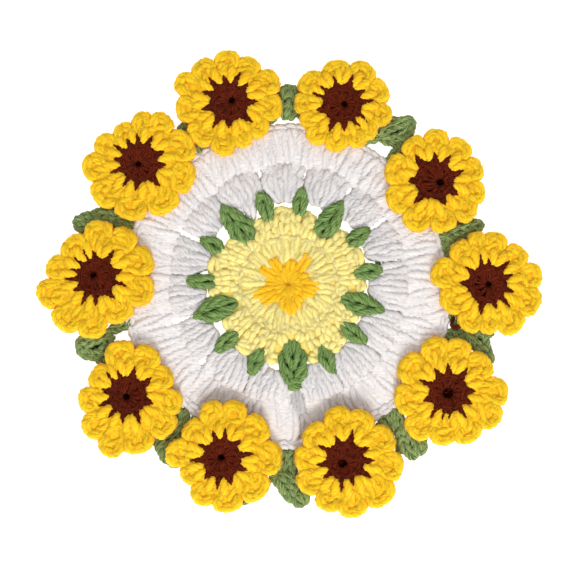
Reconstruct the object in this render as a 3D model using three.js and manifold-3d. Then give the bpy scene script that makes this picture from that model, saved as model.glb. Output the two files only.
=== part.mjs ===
// Crochet coaster: a round mat worked outwards in four yarns, a leaf loop on its edge between each two
// flowers, and ten sunflowers sewn on over the edge. Millimetres, +Z up, as it lies on a flat surface.
// The origin is the middle of the mat at its underside.
import * as THREE from "three";
import { mergeVertices } from "three/addons/utils/BufferGeometryUtils.js";
import Module from "manifold-3d";

const wasm = await Module();
wasm.setup();

// Driving dimensions of the mat: radii from its middle, and heights above the surface
const GAP = 0.3;
const PRISM_DEPTH = 40;
const ROSETTE = { body: 8, low: 2.4, high: 3.4, crest: 0.7, armHalfWidth: 8 };
const PETAL_ROUND = { inner: 6.5, fan: 13.5, braid: 20, notch: 26, columns: 64 };
const PETAL_ROUND_HEIGHTS = { low: 2.4, braid: 2.8, fan: 3.2, high: 3.7 };
const CHAIN_LINK = { inner: 34.8, outer: 37.2, height: 1.1, columns: 30 };
const WHITE_ROUND = { valley: 41, puffBack: 3.2, braidBack: 2.4, braid: 48, post: 50.5 };
const WHITE_HEIGHTS = { low: 2.2, high: 4.2, braid: 2.6, post: 2.7, edge: 2.5 };
const WHITE_UNDERSIDE = { step: 38, height: 1.5 };
const FAN_ROUNDNESS = 2.4;
const CLUSTER = { rib: 3.6, high: 4.3, edge: 2.6, blunt: 0.6 };
const RIDGE = 0.2;
const CREST = 0.55;

// Driving dimensions of the edging: heights in a flower are above its base
const LEAF = { rib: 1.8, high: 2.9, edge: 2, armWidth: 3.4, shoulder: 5, steps: 8 };
const FLOWER = {
  base: 3.2, inner: 7, innerCrest: 10.4, rimWidth: 2.4, undercut: 1.4, notch: 3.1, channel: 1.6,
};
const FLOWER_HEIGHTS = { innerCrest: 5.6, trough: 4.3, rimCrest: 5, edge: 2.4 };
const SHOULDER = { part: 0.32, back: 0.9, drop: 0.3 };
const EYE = { reach: 8.3, spike: 11.9, spikeSpread: 1.1, foot: 6.5, height: 3.9 };
const EYE_HOLE = { rim: 2.2, rimHeight: 3.4, floor: 1.6 };

// The arms of the golden rosette: direction in degrees, reach
const ARM_COLUMNS = ["turn", "reach"];
const ARMS = [
  [20, 9.4], [55, 15.2], [85, 10.6], [124, 13], [149, 13.6], [199, 16], [217, 14.6],
  [243, 9.6], [259, 12.4], [275, 13.4], [291, 12], [314, 9.8], [336, 12], [357, 13.6],
];

// The rounded ends of the five pale petals: direction and reach, and half the angle that each spans
const PALE_PETAL_COLUMNS = ["turn", "reach"];
const PALE_PETALS = [[19, 31], [94, 29.9], [164, 32.3], [236, 32.9], [308, 32.8]];
const PALE_PETAL_HALF = 36;
const PALE_PETAL_ROUNDNESS = 2.6;

// The green clusters: direction, inner end, outer end, width
const CLUSTER_COLUMNS = ["turn", "inner", "outer", "width"];
const CLUSTERS = [
  [8.5, 26.8, 38.4, 6], [34.4, 29, 39.4, 6.2], [57.5, 22.6, 39.6, 11.2], [81.6, 27, 39, 5.8],
  [107.6, 26.6, 38.4, 6.4], [130.5, 22.8, 41.4, 11.4], [153, 29.6, 39.8, 6.4], [178, 29.2, 41, 5.6],
  [199.5, 21.8, 40.6, 10.6], [223.6, 28.6, 40.2, 5.8], [247.6, 28.4, 39.6, 5.8], [273.5, 22.8, 42.8, 12],
  [297, 28.8, 40.6, 5.4], [323.4, 27, 39.4, 6], [344.5, 21.8, 39.8, 10],
];

// The white fans of the first white round: direction of the middle, inner end
const FAN_COLUMNS = ["turn", "inner"];
const FANS = [
  [20.5, 33.2], [46, 34.1], [69.5, 33.2], [94, 32.8], [118, 34.1], [142, 35.4], [164, 32.8], [187, 33.4],
  [210, 34.4], [235, 33.5], [259.5, 34.9], [286.5, 33.5], [310, 33.4], [334, 32.5], [357, 32.4],
];

// The slits between the white fans: direction, inner end, outer end, width
const SLIT_COLUMNS = ["turn", "from", "to", "width"];
const SLITS = [
  [8.5, 41, 47.6, 1.9], [33.8, 40.8, 47.2, 2.6], [57, 42, 46.6, 2.6], [81.2, 42, 47.2, 2],
  [105, 43.8, 46.6, 2.5], [153, 39.6, 48.4, 3.1], [197.5, 41.4, 49.2, 2.2], [221.8, 43.6, 48.2, 2.6],
];

// How far the mat's edge reaches: direction, reach
const EDGE_COLUMNS = ["turn", "reach"];
const EDGE = [
  [12, 63.4], [52, 63.2], [90, 63], [125, 63.6], [160, 66.2], [200, 67], [228, 63.8], [268, 66.4],
  [305, 65.2], [343, 66.2],
];

// The loops that hold the leaves: direction, reach of the top, directions of the two feet
const LOOP_COLUMNS = ["turn", "reach", "footA", "footB"];
const LEAF_LOOPS = [
  [90.5, 67.6, 81, 100], [51.8, 68, 46.5, 63], [16.5, 69, 9.5, 26], [340.5, 71, 335, 351],
  [307.8, 69.5, 301, 314], [272.2, 73.5, 265, 281], [235.4, 70, 228, 243], [196.4, 72, 192.5, 207],
  [164.6, 71.5, 157.5, 171], [124.2, 68.4, 118, 131],
];

// The blades of the leaves: the points of each outline, anticlockwise
const LEAF_BLADES = [
  [
    [-6, 73], [-5, 68], [-2, 66.2], [3, 66.2], [5, 68], [6, 73], [5, 77.5], [1.5, 79.6], [-2.5, 78.8],
    [-5, 77.2],
  ],
  [
    [35, 59], [38.5, 57.4], [41, 55], [43, 53.5], [47, 53], [51, 56], [50.4, 60], [50.8, 64],
    [49.5, 66.4], [44, 66.9], [39, 66], [36, 62.5],
  ],
  [
    [67, 26], [64.5, 23.5], [62, 20], [63, 17], [66, 15.5], [70, 16], [75, 18.5], [77.5, 21],
    [78.3, 23.5], [77, 25.3], [73, 26.8], [70, 27.1],
  ],
  [
    [69, -20.5], [68.5, -22], [70, -24.5], [73.5, -27], [77.5, -30], [81, -32], [82.4, -31],
    [82.3, -29.3], [80.6, -25.6], [79.2, -21], [80, -17], [73, -18.5],
  ],
  [
    [44, -57], [42.5, -61], [42.5, -66], [43.5, -69], [46.5, -68.3], [49.5, -69.5], [51.5, -69.7],
    [54.6, -67], [55.2, -65], [54.3, -62], [53, -59.5], [48, -57],
  ],
  [
    [-9, -77], [-8.5, -79.2], [-6, -80], [-3.4, -82.8], [-1.2, -86.2], [1, -86.9], [3.5, -88.8],
    [5.3, -89.6], [7.3, -88.6], [8.7, -86], [9.3, -82.5], [8, -79], [3, -76], [-1, -75], [-6, -75.3],
  ],
  [
    [-47, -58], [-51.5, -60], [-53.2, -62], [-52, -66.5], [-50, -71], [-48.3, -72.7], [-44, -72.8],
    [-40, -69], [-40, -63], [-42, -58],
  ],
  [
    [-70, -19.5], [-75, -17.5], [-81, -19], [-84.2, -21.3], [-85.2, -24.5], [-84.8, -27.3],
    [-83, -29.8], [-79.5, -31.2], [-76, -32.4], [-73.5, -34], [-71, -31], [-70.4, -26], [-70.2, -22.5],
  ],
  [
    [-69, 29], [-75, 30], [-78, 28.9], [-83.3, 28.2], [-85.3, 26.5], [-86, 23.5], [-85, 21],
    [-83, 19.6], [-78, 19], [-73, 19.5], [-69, 21],
  ],
  [
    [-38, 64], [-41.5, 64.4], [-44.2, 62], [-45.5, 59.5], [-44, 57], [-40, 55.5], [-36, 56.5],
    [-34, 60],
  ],
];

// The sunflowers: middle, middle of the dark hole, then for each petal its direction and reach from the
// middle, and the directions of the eye's spikes
const SUNFLOWERS = [
  {
    at: [-23.8, 72.7], hole: [1.6, 0.8],
    turns: [27, 61, 90, 130, 157, 188, 229, 264, 291, 318, 352],
    reaches: [21.2, 19.4, 20, 19.8, 22.4, 20.8, 20.4, 20.8, 18.4, 18.8, 20.8],
    spikes: [0, 45, 69, 101, 130, 159, 197, 238, 270, 318],
  },
  {
    at: [21.4, 71.9], hole: [1.2, 0],
    turns: [17, 57, 98, 150, 180, 207, 229, 260, 297, 313, 344],
    reaches: [18.6, 18.6, 17.2, 18.8, 18.4, 17.6, 19.2, 18.4, 18, 18, 19.2],
    spikes: [6, 30, 69, 108, 142, 160, 195, 245, 275, 308, 324],
  },
  {
    at: [58.2, 41.5], hole: [3.4, -1.2],
    turns: [14, 50, 89, 117, 165, 209, 246, 282, 318, 341],
    reaches: [19.5, 19.4, 19.6, 18.8, 19.2, 20, 21.2, 20.4, 21.2, 20.6],
    spikes: [17, 56, 89, 128, 183, 229, 294, 327],
  },
  {
    at: [79.4, -0.1], hole: [0.8, 0],
    turns: [11, 43, 82, 103, 124, 167, 203, 249, 272, 298, 340],
    reaches: [21.6, 19.6, 20.4, 20.8, 20, 22, 19.2, 20, 19.4, 22, 22.2],
    spikes: [21, 47, 90, 103, 142, 177, 257, 291, 315, 343],
  },
  {
    at: [63.8, -43.3], hole: [0, -0.6],
    turns: [357, 42, 78, 103, 147, 190, 231, 262, 294, 333],
    reaches: [23.2, 20.4, 21.2, 22, 21.6, 20.8, 22.4, 20.8, 21.6, 23.2],
    spikes: [2, 52, 90, 120, 157, 199, 234, 258, 270, 305, 334],
  },
  {
    at: [22.6, -70.5], hole: [-1.4, -1.6],
    turns: [29, 70, 97, 141, 179, 208, 250, 276, 318, 353],
    reaches: [21.2, 20.4, 20.8, 19.2, 19.6, 20.8, 21.2, 22.4, 23.6, 22.8],
    spikes: [0, 29, 76, 111, 150, 189, 219, 263, 288, 327],
  },
  {
    at: [-26.6, -69.7], hole: [-0.4, 0.4],
    turns: [0, 42, 76, 101, 134, 176, 206, 242, 275, 319],
    reaches: [23.2, 22, 22.8, 22.4, 19.2, 22, 16.4, 20, 21.2, 22],
    spikes: [9, 45, 83, 108, 148, 183, 230, 261, 290, 335],
  },
  {
    at: [-64.2, -44.5], hole: [-0.8, -0.8],
    turns: [26, 64, 98, 149, 186, 223, 252, 279, 324, 350],
    reaches: [18.8, 20.8, 21.2, 16.8, 19.2, 22.4, 25.2, 23.2, 22.4, 21.2],
    spikes: [36, 75, 113, 132, 167, 200, 229, 259, 294, 342],
  },
  {
    at: [-76.6, 2.7], hole: [-1.8, 1.2],
    turns: [21, 54, 86, 126, 170, 196, 237, 262, 304, 342],
    reaches: [22.8, 22.4, 22, 18.8, 20, 23.8, 24.8, 24, 20, 22.8],
    spikes: [16, 57, 98, 115, 139, 163, 184, 211, 242, 268, 310, 344],
  },
  {
    at: [-59.4, 48.3], hole: [-0.8, -0.4],
    turns: [21, 66, 84, 116, 153, 183, 222, 257, 302, 341],
    reaches: [22.4, 21.2, 20, 17, 19.2, 22.4, 22.8, 22.4, 22, 22],
    spikes: [25, 65, 95, 118, 145, 171, 199, 235, 262, 310, 355],
  },
];

const YARN = {
  golden: new THREE.MeshStandardMaterial({ color: 0xf4b71f, roughness: 0.9, metalness: 0 }),
  pale: new THREE.MeshStandardMaterial({ color: 0xf3e08a, roughness: 0.9, metalness: 0 }),
  cluster: new THREE.MeshStandardMaterial({ color: 0x4f8048, roughness: 0.9, metalness: 0 }),
  white: new THREE.MeshStandardMaterial({ color: 0xe6e1e2, roughness: 0.9, metalness: 0 }),
  leaf: new THREE.MeshStandardMaterial({ color: 0x5f7f45, roughness: 0.9, metalness: 0 }),
  petal: new THREE.MeshStandardMaterial({ color: 0xfac51e, roughness: 0.9, metalness: 0 }),
  eye: new THREE.MeshStandardMaterial({ color: 0x45150f, roughness: 0.95, metalness: 0 }),
};

// Small tools

const radians = (degrees) => (degrees * Math.PI) / 180;

function spoke(turn, reach, z) {
  return [reach * Math.cos(radians(turn)), reach * Math.sin(radians(turn)), z];
}

// [turn, reach] pairs as [x, y] points
function flatOutline(pairs) {
  return pairs.map(([turn, reach]) => spoke(turn, reach, 0).slice(0, 2));
}

function rows(table, columns) {
  return table.map((row) => Object.fromEntries(columns.map((name, i) => [name, row[i]])));
}

// The value at a turn of a table of turns that closes on itself, on smooth waves between its rows
function around(table, key, turn) {
  const sorted = [...table].sort((a, b) => a.turn - b.turn);
  const last = sorted.length - 1;
  const index = sorted.findIndex((row) => row.turn > turn);
  const next = sorted[index < 0 ? 0 : index];
  const before = sorted[index <= 0 ? last : index - 1];
  const span = (next.turn - before.turn + 360) % 360;
  const part = ((turn - before.turn + 360) % 360) / span;
  const wave = (1 - Math.cos(Math.PI * part)) / 2;
  return before[key] + (next[key] - before[key]) * wave;
}

// Solids

function geometryOf(positions, faces) {
  const geometry = new THREE.BufferGeometry();
  geometry.setAttribute("position", new THREE.Float32BufferAttribute(positions, 3));
  geometry.setIndex(faces);
  return geometry;
}

// A closed ring: each section is a closed loop of points, from inside below, over the top, to outside below
function ringSolid(sections) {
  const depth = sections[0].length;
  const faces = [];
  const at = (column, row) => (column % sections.length) * depth + (row % depth);
  for (let column = 0; column < sections.length; column += 1) {
    for (let row = 0; row < depth; row += 1) {
      faces.push(at(column, row), at(column, row + 1), at(column + 1, row + 1));
      faces.push(at(column, row), at(column + 1, row + 1), at(column + 1, row));
    }
  }
  return geometryOf(sections.flat(2), faces);
}

// A closed cushion: each section runs from near the middle above, over the edge, to below
function domeSolid(sections, middleAbove, middleBelow) {
  const depth = sections[0].length;
  const count = sections.length;
  const faces = [];
  const at = (column, row) => (column % count) * depth + row;
  const above = count * depth;
  const below = above + 1;
  for (let column = 0; column < count; column += 1) {
    faces.push(above, at(column, 0), at(column + 1, 0));
    faces.push(below, at(column + 1, depth - 1), at(column, depth - 1));
    for (let row = 0; row < depth - 1; row += 1) {
      faces.push(at(column, row), at(column, row + 1), at(column + 1, row + 1));
      faces.push(at(column, row), at(column + 1, row + 1), at(column + 1, row));
    }
  }
  return geometryOf([...sections.flat(2), ...middleAbove, ...middleBelow], faces);
}

// An upright prism on an outline of [x, y] points, taller than the coaster
function prism(outline) {
  const shape = new THREE.Shape(outline.map(([x, y]) => new THREE.Vector2(x, y)));
  const geometry = new THREE.ExtrudeGeometry(shape, { depth: PRISM_DEPTH, bevelEnabled: false });
  return geometry.translate(0, 0, -PRISM_DEPTH / 2);
}

// An outline moved outwards by a gap, along the bisector of each corner
function grown(outline, gap) {
  return outline.map(([x, y], i) => {
    const [xa, ya] = outline[(i + outline.length - 1) % outline.length];
    const [xb, yb] = outline[(i + 1) % outline.length];
    const before = new THREE.Vector2(y - ya, xa - x).normalize();
    const after = new THREE.Vector2(yb - y, x - xb).normalize();
    const bisector = before.clone().add(after).normalize();
    const reach = Math.min(gap / Math.max(bisector.dot(before), 0.2), 4 * gap);
    return [x + bisector.x * reach, y + bisector.y * reach];
  });
}

function toManifold(geometry) {
  const bare = geometry.clone();
  bare.deleteAttribute("normal");
  bare.deleteAttribute("uv");
  const merged = mergeVertices(bare, 1e-4);
  return new wasm.Manifold(new wasm.Mesh({
    numProp: 3,
    vertProperties: new Float32Array(merged.attributes.position.array),
    triVerts: new Uint32Array(merged.index.array),
  }));
}

function toGeometry(manifold) {
  const mesh = manifold.getMesh();
  return geometryOf(Array.from(mesh.vertProperties), Array.from(mesh.triVerts));
}

function cut(geometry, tools) {
  return toGeometry(tools.reduce((left, tool) => left.subtract(toManifold(tool)), toManifold(geometry)));
}

function joined(geometries) {
  return toGeometry(geometries.map(toManifold).reduce((all, one) => all.add(one)));
}

function named(name, geometry, material) {
  const flat = geometry.index ? geometry.toNonIndexed() : geometry;
  flat.deleteAttribute("normal");
  flat.computeVertexNormals();
  const mesh = new THREE.Mesh(flat, material);
  mesh.name = name;
  return mesh;
}

// Golden rosette: a low cushion with pointed arms

function rosetteOutline() {
  const arms = rows(ARMS, ARM_COLUMNS);
  return arms.flatMap(({ turn, reach }, i) => {
    const next = arms[(i + 1) % arms.length];
    const span = (next.turn - turn + 360) % 360;
    const half = ROSETTE.armHalfWidth;
    const feet = span > 2 * half + 2 ? [turn + half, next.turn - half] : [turn + span / 2];
    return [[turn, reach], ...feet.map((foot) => [foot, ROSETTE.body])];
  });
}

function rosette() {
  const sections = rosetteOutline().map(([turn, reach]) => [
    spoke(turn, ROSETTE.crest * reach, ROSETTE.high),
    spoke(turn, reach, ROSETTE.low),
    spoke(turn, reach, 0),
  ]);
  return domeSolid(sections, [0, 0, ROSETTE.low], [0, 0, 0]);
}

// A puffed form on an outline of [x, y] points: low at its middle and its edge, high between them
function puffedForm(outline, [cx, cy], { rib, high, edge }) {
  const toward = ([x, y], part, z) => [cx + part * (x - cx), cy + part * (y - cy), z];
  const sections = outline.map((point) => [
    toward(point, CREST, high),
    toward(point, 1, edge),
    toward(point, 1, 0),
  ]);
  return domeSolid(sections, [cx, cy, rib], [cx, cy, 0]);
}

// Green clusters: puffed leaves, linked underneath by the chain that carries the white fans

// The outline of a cluster along its spoke, from a round oval (blunt 1) to one with pointed ends (blunt 0)
function clusterOutline({ turn, inner, outer, width }, blunt) {
  const count = 12;
  const half = (outer - inner) / 2;
  return Array.from({ length: count }, (_, i) => {
    const angle = (2 * Math.PI * i) / count;
    const swell = blunt + (1 - blunt) * Math.abs(Math.sin(angle));
    const along = inner + half + half * Math.cos(angle);
    const side = (width / 2) * Math.sin(angle) * swell;
    const point = new THREE.Vector2(along, side).rotateAround(new THREE.Vector2(), radians(turn));
    return [point.x, point.y];
  });
}

function cluster(row) {
  const middle = spoke(row.turn, (row.inner + row.outer) / 2, 0);
  return puffedForm(clusterOutline(row, CLUSTER.blunt), middle, CLUSTER);
}

function chainLink() {
  const { inner, outer, height, columns } = CHAIN_LINK;
  const sections = Array.from({ length: columns }, (_, i) => {
    const turn = (360 * i) / columns;
    const wall = (reach, low, high) => [spoke(turn, reach, low), spoke(turn, reach, high)];
    return [...wall(inner, 0, height), ...wall(outer, height, 0)];
  });
  return ringSolid(sections);
}

// Pale petals: a fan row, a braid line and an outer row, ending in five rounded petals

function paleRim(turn) {
  const reaches = rows(PALE_PETALS, PALE_PETAL_COLUMNS).map((petal) => {
    const away = Math.abs(((turn - petal.turn + 540) % 360) - 180);
    const part = Math.min(1, away / PALE_PETAL_HALF);
    return petal.reach - (petal.reach - PETAL_ROUND.notch) * part ** PALE_PETAL_ROUNDNESS;
  });
  return Math.max(...reaches);
}

function petalRound() {
  const { inner, fan, braid, columns } = PETAL_ROUND;
  const heights = PETAL_ROUND_HEIGHTS;
  const sections = Array.from({ length: columns }, (_, i) => {
    const turn = (360 * i) / columns;
    const ridge = i % 2 === 0 ? RIDGE : -RIDGE;
    const rim = paleRim(turn);
    return [
      spoke(turn, inner, 0),
      spoke(turn, inner, heights.low),
      spoke(turn, fan, heights.fan + ridge),
      spoke(turn, braid, heights.braid),
      spoke(turn, (braid + rim) / 2 + 1, heights.high + ridge),
      spoke(turn, rim, heights.low),
      spoke(turn, rim, 0),
    ];
  });
  return ringSolid(sections);
}

// White rounds: fans worked over the chain, and an outer round of tall stitches to the mat's edge

function fanColumns(before, fan, after) {
  const columns = 6;
  const start = (before.turn + ((fan.turn - before.turn + 360) % 360) / 2) % 360;
  const end = fan.turn + ((after.turn - fan.turn + 360) % 360) / 2;
  const span = (end - start + 360) % 360;
  return Array.from({ length: columns }, (_, i) => {
    const part = i / columns;
    const turn = (start + span * part) % 360;
    const side = Math.abs(2 * part - 1) ** FAN_ROUNDNESS;
    const inner = fan.inner + (WHITE_ROUND.valley - fan.inner) * side;
    return { turn, inner, puff: 1 - side, ridge: i % 2 === 0 ? -RIDGE : RIDGE };
  });
}

function whiteColumns() {
  const fans = rows(FANS, FAN_COLUMNS);
  const edge = rows(EDGE, EDGE_COLUMNS);
  const columns = fans.flatMap((fan, i) =>
    fanColumns(fans[(i + fans.length - 1) % fans.length], fan, fans[(i + 1) % fans.length]));
  return columns.map((column) => ({ ...column, rim: around(edge, "reach", column.turn) }));
}

function whiteRound() {
  const { puffBack, braidBack, braid, post } = WHITE_ROUND;
  const heights = WHITE_HEIGHTS;
  const { step, height } = WHITE_UNDERSIDE;
  const sections = whiteColumns().map(({ turn, inner, puff, ridge, rim }) => {
    const top = heights.low + (heights.high - heights.low) * puff;
    const under = Math.max(step, inner + 0.4);
    return [
      spoke(turn, under, height),
      spoke(turn, inner, heights.low),
      spoke(turn, inner + puffBack, top + ridge),
      spoke(turn, braid - braidBack, (top + heights.high) / 2),
      spoke(turn, braid, heights.braid),
      spoke(turn, post, heights.post + ridge),
      spoke(turn, rim, heights.edge),
      spoke(turn, rim, 0),
      spoke(turn, under, 0),
    ];
  });
  return ringSolid(sections);
}

function slitOutline({ turn, from, to, width }) {
  const middle = (from + to) / 2;
  const toOctagon = 1 / Math.cos(radians(22.5));
  return Array.from({ length: 8 }, (_, i) => {
    const angle = radians(22.5 + 45 * i);
    const along = middle + ((to - from) / 2) * Math.cos(angle) * toOctagon;
    const side = (width / 2) * Math.sin(angle) * toOctagon;
    const point = new THREE.Vector2(along, side).rotateAround(new THREE.Vector2(), radians(turn));
    return [point.x, point.y];
  });
}

// Leaves: a flat blade on a chain loop with its two feet at the mat's edge

function matEdge() {
  return prism(grown(flatOutline(whiteColumns().map(({ turn, rim }) => [turn, rim])), GAP));
}

function leafLoop({ turn, reach, footA, footB }) {
  const edge = rows(EDGE, EDGE_COLUMNS);
  const foot = (at) => new THREE.Vector3(...spoke(at, around(edge, "reach", at) - 1, LEAF.high / 2));
  const shoulder = (at) => {
    const out = Math.min(around(edge, "reach", at) + LEAF.shoulder, reach + 2);
    return new THREE.Vector3(...spoke(at + (turn - at) * 0.15, out, LEAF.high / 2));
  };
  const top = new THREE.Vector3(...spoke(turn, reach + LEAF.armWidth / 2, LEAF.high / 2));
  const knots = [foot(footA), shoulder(footA), top, shoulder(footB), foot(footB)];
  const path = new THREE.CatmullRomCurve3(knots);
  const tall = LEAF.high / 2;
  const wide = LEAF.armWidth / 2;
  const half = [[-tall, -0.6 * wide], [-0.2 * tall, -wide], [tall, -0.8 * wide]];
  const section = [...half, ...half.map(([down, side]) => [down, -side]).reverse()];
  const shape = new THREE.Shape(section.map(([down, side]) => new THREE.Vector2(down, side)));
  return new THREE.ExtrudeGeometry(shape, { steps: LEAF.steps, extrudePath: path, bevelEnabled: false });
}

function leafBlade(outline) {
  const mean = (axis) => outline.reduce((sum, point) => sum + point[axis], 0) / outline.length;
  return puffedForm(outline, [mean(0), mean(1)], LEAF);
}

// Sunflowers: a brown eye with pointed spikes, in a ring of puffed petals

function eyeOutline({ spikes }, index) {
  return spikes.flatMap((turn, i) => {
    const next = spikes[(i + 1) % spikes.length];
    const before = spikes[(i + spikes.length - 1) % spikes.length];
    const reach = EYE.spike + EYE.spikeSpread * Math.sin(3.7 * i + 1.3 * index);
    const foot = (span) => Math.min(EYE.foot, span / 2.3);
    return [
      [turn - foot((turn - before + 360) % 360), EYE.reach],
      [turn, reach],
      [turn + foot((next - turn + 360) % 360), EYE.reach],
    ];
  });
}

function eye(flower, index) {
  const [hx, hy] = flower.hole;
  const { base } = FLOWER;
  const sections = eyeOutline(flower, index).map(([turn, reach]) => {
    const [x, y, z] = spoke(turn, EYE_HOLE.rim, base + EYE_HOLE.rimHeight);
    return [[hx + x, hy + y, z], spoke(turn, reach, base + EYE.height), spoke(turn, reach, base)];
  });
  return domeSolid(sections, [hx, hy, base + EYE_HOLE.floor], [hx, hy, base]);
}

function petalColumns({ turns, reaches }) {
  return turns.flatMap((turn, i) => {
    const next = (i + 1) % turns.length;
    const span = (turns[next] - turn + 360) % 360;
    const notch = Math.min(reaches[i], reaches[next]) - FLOWER.notch;
    const { part, back, drop } = SHOULDER;
    return [
      { turn, reach: reaches[i], drop: 0 },
      { turn: turn + part * span, reach: reaches[i] - back, drop },
      { turn: turn + 0.5 * span, reach: notch, drop: FLOWER.channel },
      { turn: turn + (1 - part) * span, reach: reaches[next] - back, drop },
    ];
  });
}

function petals(flower, index) {
  const { base, inner, innerCrest, rimWidth, undercut } = FLOWER;
  const heights = FLOWER_HEIGHTS;
  const sections = petalColumns(flower).map(({ turn, reach, drop }) => [
    spoke(turn, inner, base),
    spoke(turn, inner, base + EYE.height),
    spoke(turn, innerCrest, base + heights.innerCrest - drop),
    spoke(turn, (innerCrest + reach - rimWidth) / 2, base + heights.trough - drop),
    spoke(turn, reach - rimWidth, base + heights.rimCrest - drop),
    spoke(turn, reach, base + heights.edge),
    spoke(turn, reach - undercut, base),
  ]);
  return cut(ringSolid(sections), [prism(grown(flatOutline(eyeOutline(flower, index)), GAP))]);
}

// Assembly

function mat() {
  const clusters = rows(CLUSTERS, CLUSTER_COLUMNS);
  const group = new THREE.Group();
  const clusterTools = clusters.map((row) => prism(grown(clusterOutline(row, CLUSTER.blunt), GAP)));
  const rosetteTool = prism(grown(flatOutline(rosetteOutline()), GAP));
  const slits = rows(SLITS, SLIT_COLUMNS).map((row) => prism(slitOutline(row)));
  group.add(named("golden_rosette", rosette(), YARN.golden));
  group.add(named("pale_petal_round", cut(petalRound(), [rosetteTool, ...clusterTools]), YARN.pale));
  group.add(named("green_cluster_round", joined([chainLink(), ...clusters.map(cluster)]), YARN.cluster));
  group.add(named("white_round", cut(whiteRound(), [...clusterTools, ...slits]), YARN.white));
  return group;
}

function leaves() {
  const group = new THREE.Group();
  const edge = matEdge();
  rows(LEAF_LOOPS, LOOP_COLUMNS).forEach((loop, i) => {
    const leaf = cut(joined([leafLoop(loop), leafBlade(LEAF_BLADES[i])]), [edge]);
    group.add(named(`leaf_loop_${i + 1}`, leaf, YARN.leaf));
  });
  return group;
}

function sunflowers() {
  const group = new THREE.Group();
  SUNFLOWERS.forEach((flower, i) => {
    const one = new THREE.Group();
    one.position.set(flower.at[0], flower.at[1], 0);
    one.add(named(`sunflower_${i + 1}_petals`, petals(flower, i), YARN.petal));
    one.add(named(`sunflower_${i + 1}_eye`, eye(flower, i), YARN.eye));
    group.add(one);
  });
  return group;
}

const coaster = new THREE.Group();
coaster.add(mat(), leaves(), sunflowers());

export default coaster;
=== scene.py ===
"""Crochet coaster: each round, leaf and sunflower as strands of plied yarn, on the forms of the CAD solids.

Lengths are in millimetres until a mesh is made. Turns are in degrees anticlockwise from +X.
"""
import math
from collections import namedtuple

import bpy
import numpy as np
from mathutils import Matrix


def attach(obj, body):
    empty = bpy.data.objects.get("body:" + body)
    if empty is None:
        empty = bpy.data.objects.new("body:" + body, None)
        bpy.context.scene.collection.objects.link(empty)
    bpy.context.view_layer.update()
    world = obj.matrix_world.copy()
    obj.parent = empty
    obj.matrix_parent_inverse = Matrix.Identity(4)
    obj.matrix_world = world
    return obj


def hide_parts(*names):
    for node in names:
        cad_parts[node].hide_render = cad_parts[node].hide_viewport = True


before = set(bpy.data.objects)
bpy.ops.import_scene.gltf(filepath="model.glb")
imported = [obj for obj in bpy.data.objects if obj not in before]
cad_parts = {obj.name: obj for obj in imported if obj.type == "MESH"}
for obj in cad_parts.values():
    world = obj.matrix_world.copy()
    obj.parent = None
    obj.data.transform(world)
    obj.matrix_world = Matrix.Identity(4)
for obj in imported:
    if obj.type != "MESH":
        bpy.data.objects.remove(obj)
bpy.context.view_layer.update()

MM = 0.001
UP = np.array([0.0, 0.0, 1.0])

# Yarn: its plies, the length of one twist, and half the width of each yarn's strand
PLIES = 5
LAY = 11.0
PLY_DEPTH = 0.11
MAT_YARN = 1.25
GREEN_YARN = MAT_YARN * 1.02
LEAF_YARN = MAT_YARN * 0.96
PALE_YARN = 1.5
WHITE_YARN = 1.55
FLOWER_YARN = 1.42
EYE_YARN = 1.0

# Lines: how far apart the places on a strand and on a path are, how many are worked out between two given
# points, and the least that a line has
STEP = 0.85
FINE_STEP = 0.4
PLACES_PER_RUN = 8
LEAST_PLACES = 4

# Strands: how uneven their course and thickness are, the length, start and tip of their rounded ends, the
# length that one unit of the UV map stands for, how far into the map a strand may start, and how high the
# lowest points lie above the table
WOBBLE_SHARES = (1, 1, 0.6)
UNEVEN = 0.05
END_LENGTH = 0.9
END_START = 0.12
TIP_LENGTH = 0.1
UV_MM = 10.0
UV_START_MM = 50
RESTING = 0.03

# Painted shade: how much more of its valleys' colour a yellow yarn shows where it faces less than FACING_UP
# upwards
PAINTED_SIDE_SHADE = 1.5
FACING_UP = 0.4

# Painted shade, as tones: on the white fans, for each millimetre that the white sinks, and in the recess
FAN_PAINTED_SHADE = -2.2
SUNK_PAINTED_SHADE = -2.8
RECESS_PAINTED_SHADE = -8.0

# The mat's rounds: how far they reach and how many tall stitches they have, all or in each fan
ROSETTE_BODY = 8.0
PALE_BRAID = 20.0
PALE_INNER_POSTS = 25
PALE_OUTER_POSTS = 36
CHAIN_REACH = 36.0
WHITE_VALLEY = 41.0
WHITE_BRAID = 48.0
FAN_POSTS = 4
OUTER_POSTS = 4

# How blunt a white fan's inner end is, and from where on it touches the fans beside it
FAN_ROUNDNESS = 2.8
FAN_TOUCH = 39.6

# The arms of the golden rosette
Arm = namedtuple("Arm", "turn reach")
ARMS = [Arm(*row) for row in (
    (20, 9.4), (55, 15.2), (85, 10.6), (124, 13), (149, 13.6), (199, 16), (217, 14.6),
    (243, 9.6), (259, 12.4), (275, 13.4), (291, 12), (314, 9.8), (336, 12), (357, 13.6),
)]

# How far the pale rounds reach, in five petals: direction, reach
PALE_RIM = [
    (24, 31.6), (38, 30.4), (46, 30.4), (57.5, 26), (69, 27.6), (76, 30.6), (93, 30.2), (116, 28.2),
    (130.5, 26), (141, 27.6), (149, 31.5), (160, 32.7), (171, 31.9), (186, 31.8), (199.5, 25), (213, 30.8),
    (229, 33.2), (255, 32.3), (261, 32.8), (273.5, 25), (289, 33.2), (303, 33.2), (317, 31.8), (333, 29.8),
    (344.5, 25), (356.5, 30.7),
]

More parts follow.
